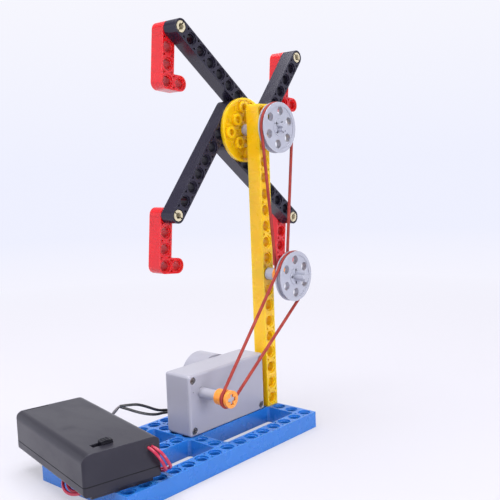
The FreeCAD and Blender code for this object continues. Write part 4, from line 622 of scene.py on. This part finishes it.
slider_black = moulded_finish(
    "slider_abs", (0.008, 0.0075, 0.012), (0.05, 0.045, 0.06), rough=0.25, edge=0.0001, coat=0.0, gloss=0.3
)
slider = made("switch_slider_cap", points, faces, slider_black, smooth=False)
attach(slider, "switch")
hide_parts("switch_slider")


# ---------------------------------------------------------------- belts
# Two round elastic cords, each joined into a loop and stretched over a small and a big pulley.
# Their stretched rubber is dull, with a little bloom.
def belt_line(small_middle, small_radius, big_middle, big_radius, y):
    """Centre line of a belt round two pulleys, given in millimetres: an arc of each, joined by their two
    outer tangents. The tangents touch both circles at the angle b from the line that runs from the small
    pulley to the big one, with cos b = (r - R) / distance."""
    small, big = np.asarray(small_middle, float), np.asarray(big_middle, float)
    apart = big - small
    heading = math.atan2(apart[1], apart[0])
    b = math.acos((small_radius - big_radius) / np.linalg.norm(apart))
    far = heading + np.linspace(-b, b, 72)
    near = heading + np.linspace(b, 2 * math.pi - b, 48)
    far_arc = big + big_radius * np.stack([np.cos(far), np.sin(far)], -1)
    near_arc = small + small_radius * np.stack([np.cos(near), np.sin(near)], -1)
    step = np.linspace(0, 1, 42)[1:-1, None]
    down = far_arc[-1] + step * (near_arc[0] - far_arc[-1])
    back = near_arc[-1] + step * (far_arc[0] - near_arc[-1])
    loop = np.concatenate([far_arc, down, near_arc, back])
    return np.stack([loop[:, 0], np.full(len(loop), y), loop[:, 1]], -1) / 1000


rubber = Finish("belt_rubber", Specular_IOR_Level=0.3)
bloom = rubber.ramp(rubber.noise(0.004, 4), (0.4, 0.0), (0.7, 1.0))
rubber.set(Base_Color=rubber.mix(bloom, (0.27, 0.022, 0.018), (0.36, 0.05, 0.036)))
rubber.set(Roughness=0.5 + bloom * 0.2)
rubber.set(Normal=rubber.bump(rubber.noise(0.0004, 3), 0.00003))
upper_middle, lower_middle, motor_middle = (56.0, 147.8), (56.0, 75.8), (5.6, 27.4)
small_circle, big_circle, belt_radius, belt_sides = 3.9, 11.7, 0.00075, 18
belt_places = {
    "upper_belt": (lower_middle, small_circle, upper_middle, big_circle, -12.4),
    "lower_belt": (motor_middle, small_circle, lower_middle, big_circle, -19.8),
}
for node, where in belt_places.items():
    path = belt_line(*where)
    tube = carried(path, belt_radius, belt_sides, (0, 1, 0), closed=True)
    faces = grid_faces(len(path), belt_sides, close_rows=True)
    belt = made(node + "_loop", tube, faces, rubber.material)
    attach(belt, "base")
    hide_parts(node)


# ---------------------------------------------------------------- table and studio
# A white sheet under the object that runs out to an even pale tent, in soft light from above,
# from the front and from the left.
def seen_directly(shading):
    """1 on rays from the camera and on those that a glossy or clear surface sends on, 0 on others."""
    kinds = ("Is Camera Ray", "Is Glossy Ray", "Is Transmission Ray")
    camera_ray, glossy_ray, clear_ray = (shading.node("LightPath", output=kind) for kind in kinds)
    return camera_ray | glossy_ray | clear_ray


sheet = Finish("white_sheet", Roughness=0.9, Base_Color=(0.52, 0.51, 0.57))
outwards = sheet.vectors("LENGTH", sheet.place())
far_off = sheet.ramp(outwards * 0.8, (0.16, 0.0), (0.9, 1.0))
glow = sheet.node("Emission", inputs={"Color": sheet.mix(far_off, (0.945, 0.93, 1.0), (0.86, 0.875, 1.0))})
share = sheet.ramp(outwards, (0.16, 0.45), (0.55, 1.0)) * seen_directly(sheet)
surface = Value(sheet.tree, sheet.shader.outputs[0])
blend = sheet.node("MixShader", inputs={0: share, 1: surface, 2: glow})
connect(sheet.tree, blend, sheet.tree.nodes["Material Output"].inputs["Surface"])
angle = np.linspace(0, 2 * math.pi, 64, endpoint=False)
radius = np.array([0.0001, 0.3, 1.0, 6.0])[:, None]
floor_points = np.stack([radius * np.cos(angle), radius * np.sin(angle), 0 * radius * angle], -1)
floor_faces = grid_faces(len(radius), len(angle))
table = made("table_sheet", floor_points, floor_faces, sheet.material, smooth=False)
table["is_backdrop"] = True

world = bpy.data.worlds.new("tent")
tent = Shading(world)
direction = tent.node("TexCoord", output="Generated")
height = tent.node("SeparateXYZ", inputs={0: direction}, output=2)
cool, pale, dark = (0.86, 0.875, 1.0), (0.94, 0.935, 0.99), (0.36, 0.36, 0.40)
backdrop_colour = tent.ramp(height, (0.0, cool), (0.25, pale), (0.32, pale), (0.46, dark))
backdrop = tent.node("Background", inputs={"Color": backdrop_colour})
dome_colour = tent.ramp(height, (0.0, (0.97, 0.975, 1.0)), (0.9, (0.62, 0.63, 0.68)))
to_dim_side = tent.vectors("DOT_PRODUCT", direction, (0.72, -0.69, 0.0))
dimming = {"Value": to_dim_side, "From Min": 0.2, "From Max": 0.95, "To Min": 0.86, "To Max": 0.22}
strength = tent.node("MapRange", inputs=dimming)
dome = tent.node("Background", inputs={"Color": dome_colour, "Strength": strength})
either = tent.node("MixShader", inputs={0: seen_directly(tent), 1: dome, 2: backdrop})
connect(tent.tree, either, tent.tree.nodes["World Output"].inputs["Surface"])
tent.tree.nodes.remove(tent.tree.nodes["Background"])
bpy.context.scene.world = world


def soft_box(name, place, aim, size, power):
    """A square lamp at a place, turned to face a point."""
    light = bpy.data.lights.new(name, "AREA")
    light.shape, light.size, light.energy = "SQUARE", size, power
    lamp = bpy.data.objects.new(name, light)
    lamp.location = place
    lamp.rotation_mode = "QUATERNION"
    lamp.rotation_quaternion = (Vector(place) - Vector(aim)).to_track_quat("Z", "Y")
    bpy.context.scene.collection.objects.link(lamp)


soft_box("top_box", (0.0, 0.1, 0.9), aim=(0, 0, 0.08), size=0.8, power=11.0)
soft_box("front_box", (-0.1, -0.95, 0.24), aim=(0, 0, 0.1), size=0.4, power=5.5)
soft_box("left_box", (-0.9, 0.1, 0.45), aim=(0, 0, 0.06), size=0.5, power=3.0)

# ---------------------------------------------------------------- end
# The box around all that is shown, the table left out.
low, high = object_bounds()
